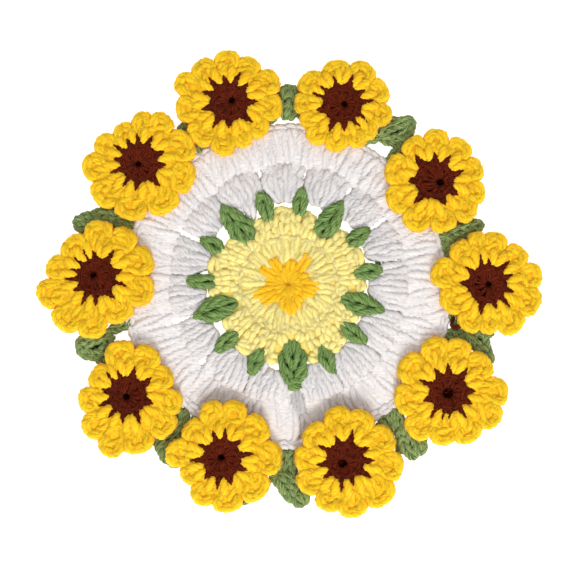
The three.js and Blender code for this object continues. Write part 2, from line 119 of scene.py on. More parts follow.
# The green clusters. widest is how far along they are widest
Cluster = namedtuple("Cluster", "turn inner outer width widest")
CLUSTERS = [Cluster(*row) for row in (
    (8.5, 26.8, 38.4, 6, 0.6), (34.4, 29, 39.4, 6.2, 0.35), (57, 22.6, 39.6, 10.6, 0.35),
    (81.6, 27, 39, 5.8, 0.5), (107.6, 26.6, 38.4, 6.4, 0.6), (130.5, 22.8, 41.4, 11.4, 0.35),
    (153, 29.6, 39.8, 6.4, 0.5), (178, 29.2, 41, 5.6, 0.4), (199.5, 21.8, 40.6, 10.6, 0.55),
    (223.6, 28.6, 40.2, 5.8, 0.4), (247.6, 28.4, 39.6, 5.8, 0.5), (273.5, 22.8, 42.8, 12.6, 0.55),
    (297, 28.8, 40.6, 5.4, 0.4), (323.4, 27, 39.4, 6, 0.4), (344.5, 21.8, 39.8, 10, 0.45),
)]
LARGE_WIDTH = 8

# The directions of the clusters that end in a knot at their outer end
KNOTTED = (107.6, 247.6, 273.5)

# The white fans: direction of the middle, inner end
Fan = namedtuple("Fan", "turn inner")
FANS = [Fan(*row) for row in (
    (20.5, 33.2), (46, 34.1), (69.5, 33.2), (94, 32.8), (118, 34.1), (142, 35.4), (164, 32.8), (187, 33.4),
    (210, 34.4), (235, 33.5), (259.5, 34.9), (286.5, 33.5), (310, 33.4), (334, 32.5), (357, 32.4),
)]

# Where a white strand shows inside a fan: direction at the fan, direction and reach of its inner end
FEET = [(115.5, 119, 28.8), (119, 122.5, 31), (254, 253, 32.4)]

# The slits between the white fans, and the place where two fans stand apart but no gap goes through
Slit = namedtuple("Slit", "turn inner outer width")
SLITS = [Slit(*row) for row in (
    (12.3, 42.8, 45.4, 1.0), (33.8, 40.7, 46.7, 1.8), (57, 42.1, 46.2, 1.7), (81.2, 42.3, 46.1, 1.3),
    (105, 43.5, 46.4, 1.7), (154.1, 38.8, 49, 1.8), (198.3, 41.2, 49, 1.5), (221.8, 44.4, 47.8, 1.8),
)]
RECESS = Slit(turn=274.5, inner=42.5, outer=51, width=4.6)

# How far the mat's edge reaches: direction, reach
EDGE = [
    (12, 63.4), (52, 63.2), (90, 63.7), (125, 63.6), (160, 66.2), (200, 67), (226, 63.8), (238, 65.2),
    (268, 66.4), (305, 65.2), (343, 66.2),
]

# How far the outer white round sinks beside the lowest sunflowers: direction, depth
SINKS = [(224, 0), (238, 2.0), (256, 2.0), (262, 0.1), (270, 0.1), (275, 2.1), (298, 2.0), (312, 0)]

# The leaves: the blade's outline and midrib, the cords that hold it to the mat's edge, and some have a tone,
# painted light or shade that makes the whole leaf lighter or darker
LEAVES = [
    dict(blade=[(-6, 73), (-5, 77.8), (-2.5, 79.6), (1.5, 80.4), (5, 78), (6, 73), (5, 68.4), (3, 66.9),
                (-2, 66.9), (-5, 68.4)],
         midrib=[(-0.3, 66.5), (0.2, 73), (1, 79)],
         cords=[[(-4, 68.4), (-7, 67), (-8.6, 65), (-11.5, 63.6)], [(4, 68.4), (6.6, 66.4), (9, 63)]]),
    dict(blade=[(35, 59), (36, 62.5), (39, 66.8), (44, 67.4), (49.1, 67), (50.2, 64), (50.4, 60), (51, 56),
                (47, 53), (43, 53.5), (41, 55), (38.5, 57.4)],
         midrib=[(37, 58.5), (43, 61.2), (50, 65.5)],
         cords=[[(37.5, 59.4), (34.5, 59), (31, 57.7), (28.3, 56.4)],
                [(44, 54.5), (42.6, 52), (40.5, 49), (38.6, 47)], [(46, 54), (44.5, 51), (42, 47.5)]],
         tone_and_shade=2.5),
    dict(blade=[(67, 26), (70, 27.1), (73, 26.8), (77, 25.3), (78.3, 23.5), (77.5, 21), (75, 18.5), (70, 16),
                (66, 15.5), (63, 17), (62, 20), (64.5, 23.5)],
         midrib=[(63.5, 18), (70, 22), (77.5, 23.7)],
         cords=[[(67, 16.5), (65.4, 13.5), (64, 10.5), (62.3, 8)], [(64.5, 21.5), (61.5, 20.5), (58.5, 19.5)],
                [(64, 19.5), (62, 15.5), (61.3, 11.5)]],
         tone_and_shade=-0.5),
    dict(blade=[(69, -20.5), (73, -18.5), (82.5, -18), (81.4, -21.6), (81.9, -25.6), (82.6, -29.3),
                (82.6, -31), (81, -32), (77.5, -30), (73.5, -27), (70, -24.5), (68.5, -22)],
         midrib=[(71, -20.5), (76, -24.8), (81.5, -31)],
         cords=[[(72, -19), (69.5, -16.5), (66.5, -14), (64, -11)], [(71, -21), (67, -20.8), (63.5, -19.8)],
                [(70.5, -23), (66.5, -23.2), (62, -22.5)]]),
    dict(blade=[(44, -57), (48, -57), (53, -59.2), (55.2, -61.6), (56.9, -65), (56.1, -67.5), (51.5, -69.7),
                (49.5, -69.5), (46.5, -68.3), (43.5, -69), (42.5, -66), (42.5, -61)],
         midrib=[(45, -57.5), (48.5, -62.5), (51.5, -69)],
         cords=[[(45.5, -58), (44.4, -54), (43.4, -50.5), (42.4, -48.5)],
                [(43.3, -58), (41.6, -54.5), (40, -51.5)], [(42.8, -59.5), (39.5, -58.5), (36, -56.5)],
                [(41.5, -57.5), (39, -55), (36.5, -53)]],
         tone_and_shade=1.5),
    dict(blade=[(-9, -77), (-6, -75.3), (-1, -75), (3, -76), (8, -79), (9.3, -82.5), (8.7, -86), (7.3, -88.6),
                (5.3, -90), (3.3, -89.7), (0.3, -88), (-2, -87), (-4.3, -83.6), (-6.8, -80.7), (-8.5, -79.2)],
         midrib=[(-3, -76.5), (1, -82), (6, -88.5)],
         cords=[[(-1.8, -66.3), (-1.9, -71), (-2.6, -76.5)], [(1.6, -66.3), (1.6, -71), (1.9, -77)],
                [(-9, -80), (-14.5, -84.5), (-19.2, -87.3)]]),
    dict(blade=[(-47, -58), (-51.5, -60), (-54.8, -61.8), (-53.6, -67), (-50.4, -71.2), (-48.3, -73.3),
                (-43.6, -74.8), (-40, -69), (-40, -63), (-42, -58)],
         midrib=[(-44, -57.5), (-46, -64), (-48.5, -71.5)],
         cords=[[(-43.8, -49.5), (-44.8, -53.5), (-45.6, -58.5)],
                [(-40.8, -50.5), (-42, -54.5), (-42.8, -58.5)], [(-36.5, -53), (-38.5, -56.5), (-41, -60)]],
         tone_and_shade=-2.5),
    dict(blade=[(-70, -19.5), (-75, -17.5), (-81, -19), (-85, -21.3), (-86, -24.5), (-85.6, -27.3),
                (-83.8, -30.2), (-79.5, -31.2), (-76, -32.4), (-73.5, -34), (-71, -31), (-70.4, -26),
                (-70.2, -22.5)],
         midrib=[(-71, -20.5), (-76.5, -24), (-83, -28)],
         cords=[[(-72, -18.9), (-69, -17.9), (-65.2, -16.3), (-61, -15.2)],
                [(-72, -30), (-66, -29.3), (-60, -27)]]),
    dict(blade=[(-69, 31), (-75, 32), (-78, 30), (-83.5, 28.9), (-85.3, 26.5), (-86, 23.5), (-85, 21),
                (-83, 19.6), (-78, 19), (-73, 19.5), (-69, 21)],
         midrib=[(-69, 25), (-77, 25), (-85.5, 23.8)],
         cords=[[(-70, 26.4), (-65.5, 25.8), (-61.5, 24.6)], [(-70, 22.8), (-65.5, 22.6), (-61.5, 21.6)]],
         tone_and_shade=-1.0),
    dict(blade=[(-38, 64), (-42, 65.5), (-45, 63), (-45.5, 59.5), (-44, 57), (-40, 55.5), (-36, 56.5),
                (-34, 60)],
         midrib=[(-38, 57), (-40.5, 60.5), (-42.5, 63.5)],
         cords=[[(-38.5, 58), (-36.8, 55.3), (-33.4, 53.4)]]),
]

# The sunflowers: middle, the dark hole's offset and radius, each petal's direction and reach, and the spikes'
# directions. Some have a darker eye, a loose loop of its yarn, or a thread end
SUNFLOWERS = [
    dict(at=(-23.8, 72.7), hole=(1.6, 0.8), well=1.5,
         turns=(27, 61, 90, 130, 157, 188, 229, 264, 291, 318, 352),
         reaches=(21.2, 19.4, 20, 19.8, 22.4, 20.8, 20.4, 20.8, 18.4, 18.8, 20.8),
         spikes=(0, 45, 69, 101, 130, 159, 197, 238, 270, 318)),
    dict(at=(21.4, 71.9), hole=(1.2, 0), well=1.4,
         turns=(17, 57, 98, 150, 180, 207, 229, 260, 297, 313, 344),
         reaches=(18.9, 18.6, 17, 18.8, 18.4, 17.6, 19.2, 18.4, 18, 18, 19.8),
         spikes=(6, 30, 69, 108, 142, 160, 195, 245, 275, 308, 324)),
    dict(at=(58.2, 41.5), hole=(3.4, -1.2), well=1.6,
         turns=(14, 50, 89, 117, 165, 209, 246, 282, 318, 341),
         reaches=(19.5, 19.4, 19.6, 18.8, 19.2, 20, 21.2, 20.4, 21.2, 20.6),
         spikes=(17, 56, 89, 128, 183, 229, 294, 327)),
    dict(at=(79.4, -0.1), hole=(0.8, 0), well=1.3,
         turns=(11, 43, 82, 103, 124, 167, 203, 249, 272, 298, 340),
         reaches=(21.6, 19.6, 20.4, 20.8, 20, 22, 19.2, 20, 19.4, 22, 22.2),
         spikes=(21, 47, 90, 103, 142, 177, 257, 291, 315, 343),
         loop=[(66.4, -13.4, 3.4), (65.3, -15.6, 3.7), (65.9, -17.3, 3.8), (67.9, -17.4, 3.9),
               (70.0, -16.0, 4.2)]),
    dict(at=(63.8, -43.3), hole=(0, -0.6), well=2.2,
         turns=(357, 42, 78, 103, 147, 190, 231, 262, 294, 333),
         reaches=(23.2, 20.4, 21.2, 22, 21.6, 20.8, 22.4, 20.8, 21.6, 23.2),
         spikes=(2, 52, 90, 120, 157, 199, 234, 258, 270, 305, 334),
         thread=[(62.8, -52.6, 7.9), (63.3, -55.2, 8.8), (63.9, -58, 9.3)]),
    dict(at=(22.6, -70.5), hole=(-1.4, -1.6), well=1.8, eye_tone=-1.5,
         turns=(29, 70, 97, 141, 179, 208, 250, 276, 318, 353),
         reaches=(21.2, 20.4, 20.8, 19.2, 19.6, 20.8, 21.2, 22.4, 23.6, 22.8),
         spikes=(0, 29, 76, 111, 150, 189, 219, 263, 288, 327)),
    dict(at=(-26.6, -69.7), hole=(-0.4, 0.4), well=1.5,
         turns=(0, 42, 76, 101, 134, 176, 206, 242, 275, 319),
         reaches=(23.2, 22, 22.8, 22.4, 19.2, 22, 17.4, 20, 21.2, 22),
         spikes=(9, 45, 83, 108, 148, 183, 230, 261, 290, 335)),
    dict(at=(-64.2, -44.5), hole=(-0.8, -0.8), well=1.5, eye_tone=-2.5,
         turns=(26, 64, 98, 149, 186, 223, 252, 279, 324, 350),
         reaches=(18.8, 20.8, 21.2, 16.8, 19.2, 22.4, 25.2, 23.2, 22.4, 21.2),
         spikes=(36, 75, 113, 132, 167, 200, 229, 259, 294, 342)),
    dict(at=(-76.6, 2.7), hole=(-1.8, 1.2), well=1.4, eye_tone=-2.0,
         turns=(21, 54, 86, 126, 170, 196, 237, 262, 304, 342),
         reaches=(22.8, 22.4, 22, 18.8, 20, 24.4, 24.8, 24, 20, 22.8),
         spikes=(16, 57, 98, 115, 139, 163, 184, 211, 242, 268, 310, 344)),
    dict(at=(-59.4, 48.3), hole=(-0.8, -0.4), well=1.3,
         turns=(21, 66, 84, 116, 153, 183, 222, 257, 302, 341),
         reaches=(22.4, 21.2, 20, 17, 19.2, 22.4, 22.8, 22.4, 22, 22),
         spikes=(25, 65, 95, 118, 145, 171, 199, 235, 262, 310, 355)),
]
LOOP_SIZE = 0.75
THREAD_SIZE = 0.25

# A sunflower: the height of its base above the table, the reach of the eye's spikes and how uneven they are,
# how deep the notches between the petals are, and how wide a strand at the petals' inner ends lies
FLOWER_BASE = 3.2
SPIKE_REACH = 11.9
SPIKE_SPREAD = 1.1
NOTCH = 3.1
TOE_PITCH = 4.0


# Small tools

def spoke(turn, reach, z=0.0):
    return np.array([reach * math.cos(math.radians(turn)), reach * math.sin(math.radians(turn)), z])


def unit(v):
    return v / np.maximum(np.linalg.norm(v, axis=-1, keepdims=True), 1e-9)


def turn_between(a, b):
    """How far it is anticlockwise from a to b."""
    return (b - a) % 360


def away(a, b):
    """The angle between two directions."""
    return abs((a - b + 180) % 360 - 180)


def around(table, turn):
    """The value at a turn of a table of (turn, value) that closes on itself, on smooth waves."""
    turns = [row[0] for row in table]
    after = next((i for i, t in enumerate(turns) if t > turn), 0)
    (t0, v0), (t1, v1) = table[after - 1], table[after]
    part = turn_between(t0, turn) / turn_between(t0, t1)
    return v0 + (v1 - v0) * (1 - math.cos(math.pi * part)) / 2


def spread_along(values, parts):
    """The values, spread evenly over a length, at some parts of it."""
    return np.interp(parts, np.linspace(0, 1, np.size(values)), np.ravel(values))


def line_of(turns, reaches, heights):
    """Places from their directions, reaches and heights."""
    return [spoke(turn, reach, height) for turn, reach, height in zip(turns, reaches, heights)]


def smooth_line(points, step=STEP):
    """A smooth line through the points, with points about step apart, and how far along it they are."""
    p = np.asarray(points, float)
    p = np.vstack([2 * p[0] - p[1], p, 2 * p[-1] - p[-2]])
    t = np.linspace(0, 1, PLACES_PER_RUN, endpoint=False)[:, None]
    runs = [
        0.5 * (2 * b + (c - a) * t + (2 * a - 5 * b + 4 * c - d) * t**2 + (3 * b - a - 3 * c + d) * t**3)
        for a, b, c, d in zip(p[:-3], p[1:-2], p[2:-1], p[3:])
    ]
    line = np.vstack([*runs, p[-2]])
    along = np.r_[0, np.cumsum(np.linalg.norm(np.diff(line, axis=0), axis=1))]
    at = np.linspace(0, along[-1], max(LEAST_PLACES, round(along[-1] / step) + 1))
    return np.column_stack([np.interp(at, along, line[:, k]) for k in range(3)]), at


def carried_normals(tangent):
    """A direction across a line at each of its points, carried along the line without a twist."""
    normals = np.empty_like(tangent)
    sloping = abs(tangent[0][2]) < 0.9
    normal = np.cross(tangent[0], UP if sloping else [1.0, 0.0, 0.0])
    for i, along in enumerate(tangent):
        normal = normal - along * normal.dot(along)
        normal /= math.sqrt(normal.dot(normal)) + 1e-12
        normals[i] = normal
    return normals


def add(name, data):
    """An object with this data, in the scene."""
    thing = bpy.data.objects.new(name, data)
    bpy.context.scene.collection.objects.link(thing)
    return thing


class Path:
    """A smooth line that stitches are worked along.

    at(s) gives places on it, and side(s) the flat direction across it.
    """

    def __init__(self, points, closed=False):
        points = np.asarray(points, float)
        self.closed = closed
        if closed:
            wrapped = np.vstack([points[-2:], points, points[:3]])
            line, along = smooth_line(wrapped, FINE_STEP)
            first = np.argmin(np.linalg.norm(line - points[0], axis=1)[: len(line) // 2])
            last = len(line) // 2 + np.argmin(np.linalg.norm(line - points[0], axis=1)[len(line) // 2:])
            line, along = line[first: last + 1], along[first: last + 1] - along[first]
        else:
            line, along = smooth_line(points, FINE_STEP)
        self.line, self.along = line, along
        tangent = unit(np.gradient(line, axis=0) * [1, 1, 0])
        self.across = np.column_stack([-tangent[:, 1], tangent[:, 0], np.zeros(len(line))])
        self.length = along[-1]

    def look_up(self, table, s):
        s = np.asarray(s, float)
        s = s % self.length if self.closed else s
        return np.stack([np.interp(s, self.along, table[:, k]) for k in range(3)], axis=-1)

    def at(self, s):
        return self.look_up(self.line, s)

    def side(self, s):
        return unit(self.look_up(self.across, s))


class Yarn:
    """Strands of one yarn and its ground cloth, made into one mesh.

    Each point has a painted ply shade, 1 on a ply's ridge and 0 between two and lower on sides that face
    down, and a tone, how much lighter it is: random for each strand, plus shade, which paints light or shade
    on some parts.
    """

    def __init__(self, radius, seed, wobble=0.1, painted_side_shade=0.0):
        self.radius = radius
        self.random = np.random.default_rng(seed)
        self.wobble = wobble
        self.painted_side_shade = painted_side_shade
        self.shade = 0.0
        self.count = 0
        self.points, self.ply, self.tone_and_shade = [], [], []
        self.quads, self.quad_uv, self.tris, self.tri_uv = [], [], [], []

    def keep(self, points, ply, tone_and_shade, quads, quad_uv, tris=(), tri_uv=()):
        self.points.append(points)
        self.quads.append(np.asarray(quads, int).reshape(-1, 4) + self.count)
        self.quad_uv.append(np.asarray(quad_uv, float).reshape(-1, 4, 2))
        self.tris.append(np.asarray(tris, int).reshape(-1, 3) + self.count)
        self.tri_uv.append(np.asarray(tri_uv, float).reshape(-1, 3, 2))
        self.ply.append(np.broadcast_to(ply, len(points)))
        self.tone_and_shade.append(np.broadcast_to(tone_and_shade, len(points)))
        self.count += len(points)

    def strand(self, points, size=1.0):
        """A length of yarn through the points. size is its thickness, one number or several along it."""
        points = np.asarray(points, float)
        points = points + self.random.normal(0, self.wobble, points.shape) * WOBBLE_SHARES
        line, s = smooth_line(points)
        n, sides = len(line), 2 * PLIES

        sizes = spread_along(size, np.linspace(0, 1, n))
        radius = self.radius * sizes * self.random.uniform(1 - UNEVEN, 1 + UNEVEN)
        to_end = np.minimum(s, s[-1] - s)
        rounding = np.clip(to_end / (self.radius * END_LENGTH) + END_START, 0, 1)
        radius = radius * np.sqrt(1 - (1 - rounding) ** 2)

        tangent = unit(np.gradient(line, axis=0))
        normals = carried_normals(tangent)
        other = np.cross(tangent, normals)
        start = self.random.uniform(0, 2 * math.pi)
        angle = start + 2 * math.pi * (np.arange(sides) / sides + s[:, None] / LAY)
        ridge = np.arange(sides) % 2
        reach = radius[:, None] * (1 + PLY_DEPTH * (2 * ridge - 1))
        rings = line[:, None] + reach[..., None] * (
            np.cos(angle)[..., None] * normals[:, None] + np.sin(angle)[..., None] * other[:, None])
        tip = TIP_LENGTH * self.radius
        body = np.vstack([rings.reshape(-1, 3), line[0] - tangent[0] * tip, line[-1] + tangent[-1] * tip])

        i, j = np.meshgrid(np.arange(n - 1), np.arange(sides), indexing="ij")
        i, j = i.ravel(), j.ravel()
        k = (j + 1) % sides
        quads = np.column_stack([i * sides + j, i * sides + k, (i + 1) * sides + k, (i + 1) * sides + j])
        side = np.arange(sides)
        after = (side + 1) % sides
        last_ring = (n - 1) * sides
        first = np.column_stack([np.full(sides, n * sides), after, side])
        last = np.column_stack([np.full(sides, n * sides + 1), last_ring + side, last_ring + after])

        from_start = self.random.uniform(0, UV_START_MM)
        u0, u1 = (s[i] + from_start) / UV_MM, (s[i + 1] + from_start) / UV_MM
        v0, v1 = j / sides, (j + 1) / sides
        quad_uv = np.stack([np.stack(corner, -1) for corner in ((u0, v0), (u0, v1), (u1, v1), (u1, v0))], 1)
        tips_uv = np.zeros((2 * sides, 3, 2))
        tips_uv[:, :, 0] = from_start / UV_MM
        tips_uv[:, :, 1] = [0.5, 0.0, 1.0]

        # Painted shade: the sides of a strand that face less than FACING_UP upwards take more of the valleys'
        # colour
        upward = np.cos(angle) * normals[:, None, 2] + np.sin(angle) * other[:, None, 2]
        sideways = np.clip(FACING_UP - upward, 0, 1 + FACING_UP)
        ply = np.r_[(ridge - self.painted_side_shade * sideways).ravel(), 0.5, 0.5]
        tone_and_shade = self.random.uniform(-1, 1) + self.shade
        self.keep(body, ply, tone_and_shade, quads, quad_uv, np.vstack([first, last]), tips_uv)

    def grid(self, points, closed=False, skip=None, ply=0.0, tone_and_shade=-1.0):
        """Ground cloth: a grid of points as quads, which may close on itself. skip leaves quads out. Its ply
        shade and tone, by default a valley's and darker than a strand's, paint shade on the cloth that shows
        between the strands.
        """
        rows, columns = points.shape[:2]
        i, j = np.meshgrid(np.arange(rows if closed else rows - 1), np.arange(columns - 1), indexing="ij")
        i, j = i.ravel(), j.ravel()
        if skip is not None:
            kept = ~skip[i, j]
            i, j = i[kept], j[kept]
        k = (i + 1) % rows
        quads = np.column_stack([i * columns + j, i * columns + j + 1, k * columns + j + 1, k * columns + j])
        flat = points.reshape(-1, 3)
        self.keep(flat, ply, tone_and_shade, quads, flat[quads][..., :2] / UV_MM)

    def mesh(self, name):
        points = np.vstack(self.points)
        points[:, 2] = np.maximum(points[:, 2], RESTING)
        faces = np.vstack(self.quads).tolist() + np.vstack(self.tris).tolist()
        mesh = bpy.data.meshes.new(name)
        mesh.from_pydata((points * MM).tolist(), [], faces)
        mesh.shade_smooth()
        uv = mesh.uv_layers.new(name="yarn")
        both = np.vstack([np.vstack(self.quad_uv).reshape(-1, 2), np.vstack(self.tri_uv).reshape(-1, 2)])
        uv.data.foreach_set("uv", both.astype(np.float32).ravel())
        for key, values in (("ply", self.ply), ("tone_and_shade", self.tone_and_shade)):
            attribute = mesh.attributes.new(key, "FLOAT", "POINT")
            attribute.data.foreach_set("value", np.concatenate(values).astype(np.float32))
        mesh.validate()
        return mesh

    def piece(self, name, node, slot, material):
        """The finished piece, which stands for a CAD node unless that is None."""
        thing = add(name, self.mesh(name))
        thing.data.materials.append(material)
        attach(thing, "root")
        if node:
            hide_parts(node)
        return thing


# Stitches

def tall_stitch(yarn, line, wide, high, strands, turns, phase=None, size=1.0):
    """A tall stitch: strands that wind round a line. wide and high are its half widths along the line."""
    line = np.asarray(line, float)
    n = len(line)
    tangent = unit(np.gradient(line, axis=0) * [1, 1, 0])
    across = np.column_stack([-tangent[:, 1], tangent[:, 0], np.zeros(n)])
    phase = yarn.random.uniform(0, 2 * math.pi) if phase is None else phase
    out = np.maximum(np.broadcast_to(wide, n) - yarn.radius, 0.05)
    lift = np.maximum(np.broadcast_to(high, n) - yarn.radius, 0.05)
    part = np.linspace(0, 1, n)
    for k in range(strands):
        angle = phase + 2 * math.pi * (k / strands + turns * part)
        places = line + across * (out * np.cos(angle))[:, None] + UP * (lift * np.sin(angle))[:, None]
        yarn.strand(places, size)


def post(yarn, line, wide, high, twists, size=1.0):
    """A tall stitch of two strands, side by side in the middle and twisted to either side by chance."""
    twist = yarn.random.uniform(*twists) * yarn.random.choice((-1, 1))
    tall_stitch(yarn, line, wide, high, strands=2, turns=twist, phase=-math.pi * twist, size=size)


# One loop of a chain: along in pitches, aside in half widths, up in yarn radii
LINK = np.array([
    (0, 0.2, -0.6), (0.3, 0.35, 0.5), (0.8, 0.75, 0.45), (1.25, 0.45, 0), (1.4, 0, -0.15),
    (1.25, -0.45, 0), (0.8, -0.75, 0.45), (0.3, -0.35, 0.5), (0, -0.2, -0.6), (0.5, 0, -0.9),
])

# How much longer a chain is than its loops, in pitches
CHAIN_SPARE = 0.4


def chain(yarn, path, pitch, half_width, lift, size=1.0):
    """A chain of loops that lie flat along a path, each drawn through the one before it.

    half_width is one number, or several spread along the path.
    """
    spare = 0 if path.closed else CHAIN_SPARE
    count = max(1, round(path.length / pitch - spare))
    pitch = path.length / (count + spare)
    loops = np.vstack([LINK + [i, 0, 0] for i in range(count)])
    s = loops[:, 0] * pitch
    aside = loops[:, 1] * spread_along(half_width, s / path.length)
    places = path.at(s) + path.side(s) * aside[:, None]
    yarn.strand(places + UP * (loops[:, 2] * lift * yarn.radius)[:, None], size)


# The golden rosette

# How thick strands are along their length: an arm's neck and sides, and the short strands in the wide gaps
NECK_SIZES = (0.45, 0.8, 1.15, 1.0)
ARM_SIZES = (0.8, 1.05, 1.1, 1.05, 0.95)
FILLER_SIZES = (0.5, 0.95, 1.1, 1.0)

# How wide a gap between two arms is to get one short strand, or two, how far these reach, at least and as a
# share of the arms' reach, and half the angle that an arm takes up
WIDE_GAP = 20
WIDEST_GAP = 34
FILLER_REACH = 7.8
FILLER_SHARE = 0.8
ARM_HALF_ANGLE = 8


def rosette_reach(turn):
    """How far the golden rosette reaches in a direction."""
    nearest = min(ARMS, key=lambda arm: away(arm.turn, turn))
    part = min(1.0, away(nearest.turn, turn) / ARM_HALF_ANGLE)
    return nearest.reach + (ROSETTE_BODY - nearest.reach) * part


def golden_rosette():
    yarn = Yarn(MAT_YARN, seed=11, painted_side_shade=PAINTED_SIDE_SHADE)
    for turn, reach in ARMS:
        across = spoke(turn + 90, 1)
        neck = 3.2 + 0.12 * reach
        neck_places = ((0.7, 2.0), (2.2, 2.1), (neck, 2.2), (neck + 1.6, 1.7))
        yarn.strand([spoke(turn, r, h) for r, h in neck_places], NECK_SIZES)
        lift = yarn.random.uniform(-0.15, 0.15)
        for side in (-1, 1):
            arm_places = ((neck - 0.6, 0.35, 1.9), (neck + 1.2, 0.95, 2.2), (0.5 * (neck + reach), 1.0, 2.35),
                          (reach - 2.0, 0.85, 2.4), (reach - 0.8, 0.55, 2.2))
            line = [spoke(turn, r, h + lift) + across * side * aside for r, aside, h in arm_places]
            yarn.strand(line, ARM_SIZES)
    for arm, after in zip(ARMS, ARMS[1:] + ARMS[:1]):
        gap = turn_between(arm.turn, after.turn)
        if gap < WIDE_GAP:
            continue
        reach = max(FILLER_REACH, min(arm.reach, after.reach) * FILLER_SHARE)
        filler_places = ((1.2, 1.9), (3.6, 2.0), (6.0, 2.1), (reach - 1.1, 1.7))
        for side in (-1, 1) if gap > WIDEST_GAP else (0,):
            turn = arm.turn + gap / 2 + side * gap * 0.14
            yarn.strand([spoke(turn, r, h) for r, h in filler_places], FILLER_SIZES)
    disc = [[spoke(turn, r, 1.5) for r in (0.0, 3.0, 8.5)] for turn in range(0, 360, 15)]
    yarn.grid(np.array(disc), closed=True)
    return yarn


# The pale rounds

# Heights of the two rows' stitches from the inner to the outer end, and of the ground below them
PALE_INNER_HEIGHTS = np.array([1.3, 1.8, 1.9, 1.8, 1.6])
PALE_OUTER_HEIGHTS = np.array([1.5, 2.0, 2.2, 2.0, 1.4])
PALE_GROUND_HEIGHT = 2.5

# How far inside the rim the braid lies, at which reach the clusters' sides are measured, and how much room
# the stitches leave beside a cluster
PALE_RIM_INSET = 1.8
CLUSTER_SIDE_REACH = 29
CLUSTER_ROOM = 0.9


def beside_clusters(turn, reach, room):
    """A reach cut back so that the place stays clear of the large green clusters."""
    large = (row for row in CLUSTERS if row.width > LARGE_WIDTH)
    nearest = min(large, key=lambda row: away(row.turn, turn))
    middle, half = (nearest.inner + nearest.outer) / 2, (nearest.outer - nearest.inner) / 2
    for r in np.arange(nearest.inner - 1, reach + 0.1, 0.3):
        aside = r * math.radians(away(nearest.turn, turn))
        swell = math.sqrt(max(0.0, 1 - ((r - middle) / half) ** 2))
        if r > nearest.inner - room and aside < room * 0.4 + nearest.width / 2 * swell:
            return r - room * 0.5
    return reach


def pale_round():
    yarn = Yarn(PALE_YARN, seed=23, wobble=0.28, painted_side_shade=PAINTED_SIDE_SHADE)
    chance = yarn.random
    for k in range(PALE_INNER_POSTS):
        turn = 360 / PALE_INNER_POSTS * (k + 0.5) + chance.uniform(-1.5, 1.5)
        turns = turn + chance.uniform(-4, 4) * np.linspace(0, 1, 5)
        radii = np.linspace(rosette_reach(turn) + 0.5, PALE_BRAID, 5)
        heights = PALE_INNER_HEIGHTS + chance.uniform(-0.2, 0.2)
        wide = np.radians(180 / PALE_INNER_POSTS) * radii * 1.2
        post(yarn, line_of(turns, radii, heights), wide, 1.75, twists=(0.2, 0.45))

    braid = [spoke(t, PALE_BRAID + chance.uniform(-2.0, 1.6), 1.1 + chance.uniform(-0.4, 0.3))
             for t in range(0, 360, 12)]
    chain(yarn, Path(braid, closed=True), 4.4, 1.5, lift=0.9)

    for k in range(PALE_OUTER_POSTS):
        turn = 360 / PALE_OUTER_POSTS * (k + 0.3) + chance.uniform(-1.2, 1.2)
        reach = beside_clusters(turn, around(PALE_RIM, turn % 360) - 0.7, CLUSTER_ROOM)
        if reach < PALE_BRAID + 2:
            continue
        turns = turn + chance.uniform(-6, 6) * np.linspace(-0.5, 0.5, 5)
        radii = np.linspace(PALE_BRAID, reach, 5)
        heights = PALE_OUTER_HEIGHTS + chance.uniform(-0.5, 0.3)
        wide = np.radians(180 / PALE_OUTER_POSTS) * radii * 0.68
        chain(yarn, Path(line_of(turns, radii, heights)), chance.uniform(3.3, 4.3), wide, lift=0.8)

    for cluster, after in zip(CLUSTERS, CLUSTERS[1:] + CLUSTERS[:1]):
        start = cluster.turn + math.degrees(cluster.width / 2 / CLUSTER_SIDE_REACH)
        end = after.turn - math.degrees(after.width / 2 / CLUSTER_SIDE_REACH)
        span = turn_between(start, end)
        if not 4 < span < 300:
            continue
        turns = start + span * np.linspace(0, 1, 6)
        rim = [spoke(t, around(PALE_RIM, t % 360) - PALE_RIM_INSET, 1.9) for t in turns]
        chain(yarn, Path(rim), 3.9, 1.6, lift=0.9)

    ground = []
    for t in range(0, 360, 4):
        radii = np.linspace(6.5, around(PALE_RIM, t) - PALE_RIM_INSET, 6)
        ground.append([spoke(t, r, PALE_GROUND_HEIGHT) for r in radii])
    # Painted shade: the ground between the strands takes more of the valleys' colour
    yarn.grid(np.array(ground), closed=True, ply=-0.4)
    return yarn


# The green clusters

# Heights from the inner to the outer end, and how thick the wrapped strands are there
LARGE_HEIGHTS = (1.9, 2.7, 3.2, 3.3, 3.0)
SMALL_HEIGHTS = (2.6, 3.0, 3.2, 3.2, 3.0)
WRAP_SIZES = (0.7, 1, 1.05, 1, 0.6)
END_SIZES = (0.7, 0.95, 0.65)

# A cluster's end, back from its outer end and height, and the rounded ground below it, aside in half widths
# and below its middle
CLUSTER_END = ((4.2, 3.6), (2.2, 4.0), (0.5, 3.7))
DOME = ((-0.8, 2.3), (-0.5, 1.3), (0, 1.6), (0.5, 1.3), (0.8, 2.3))


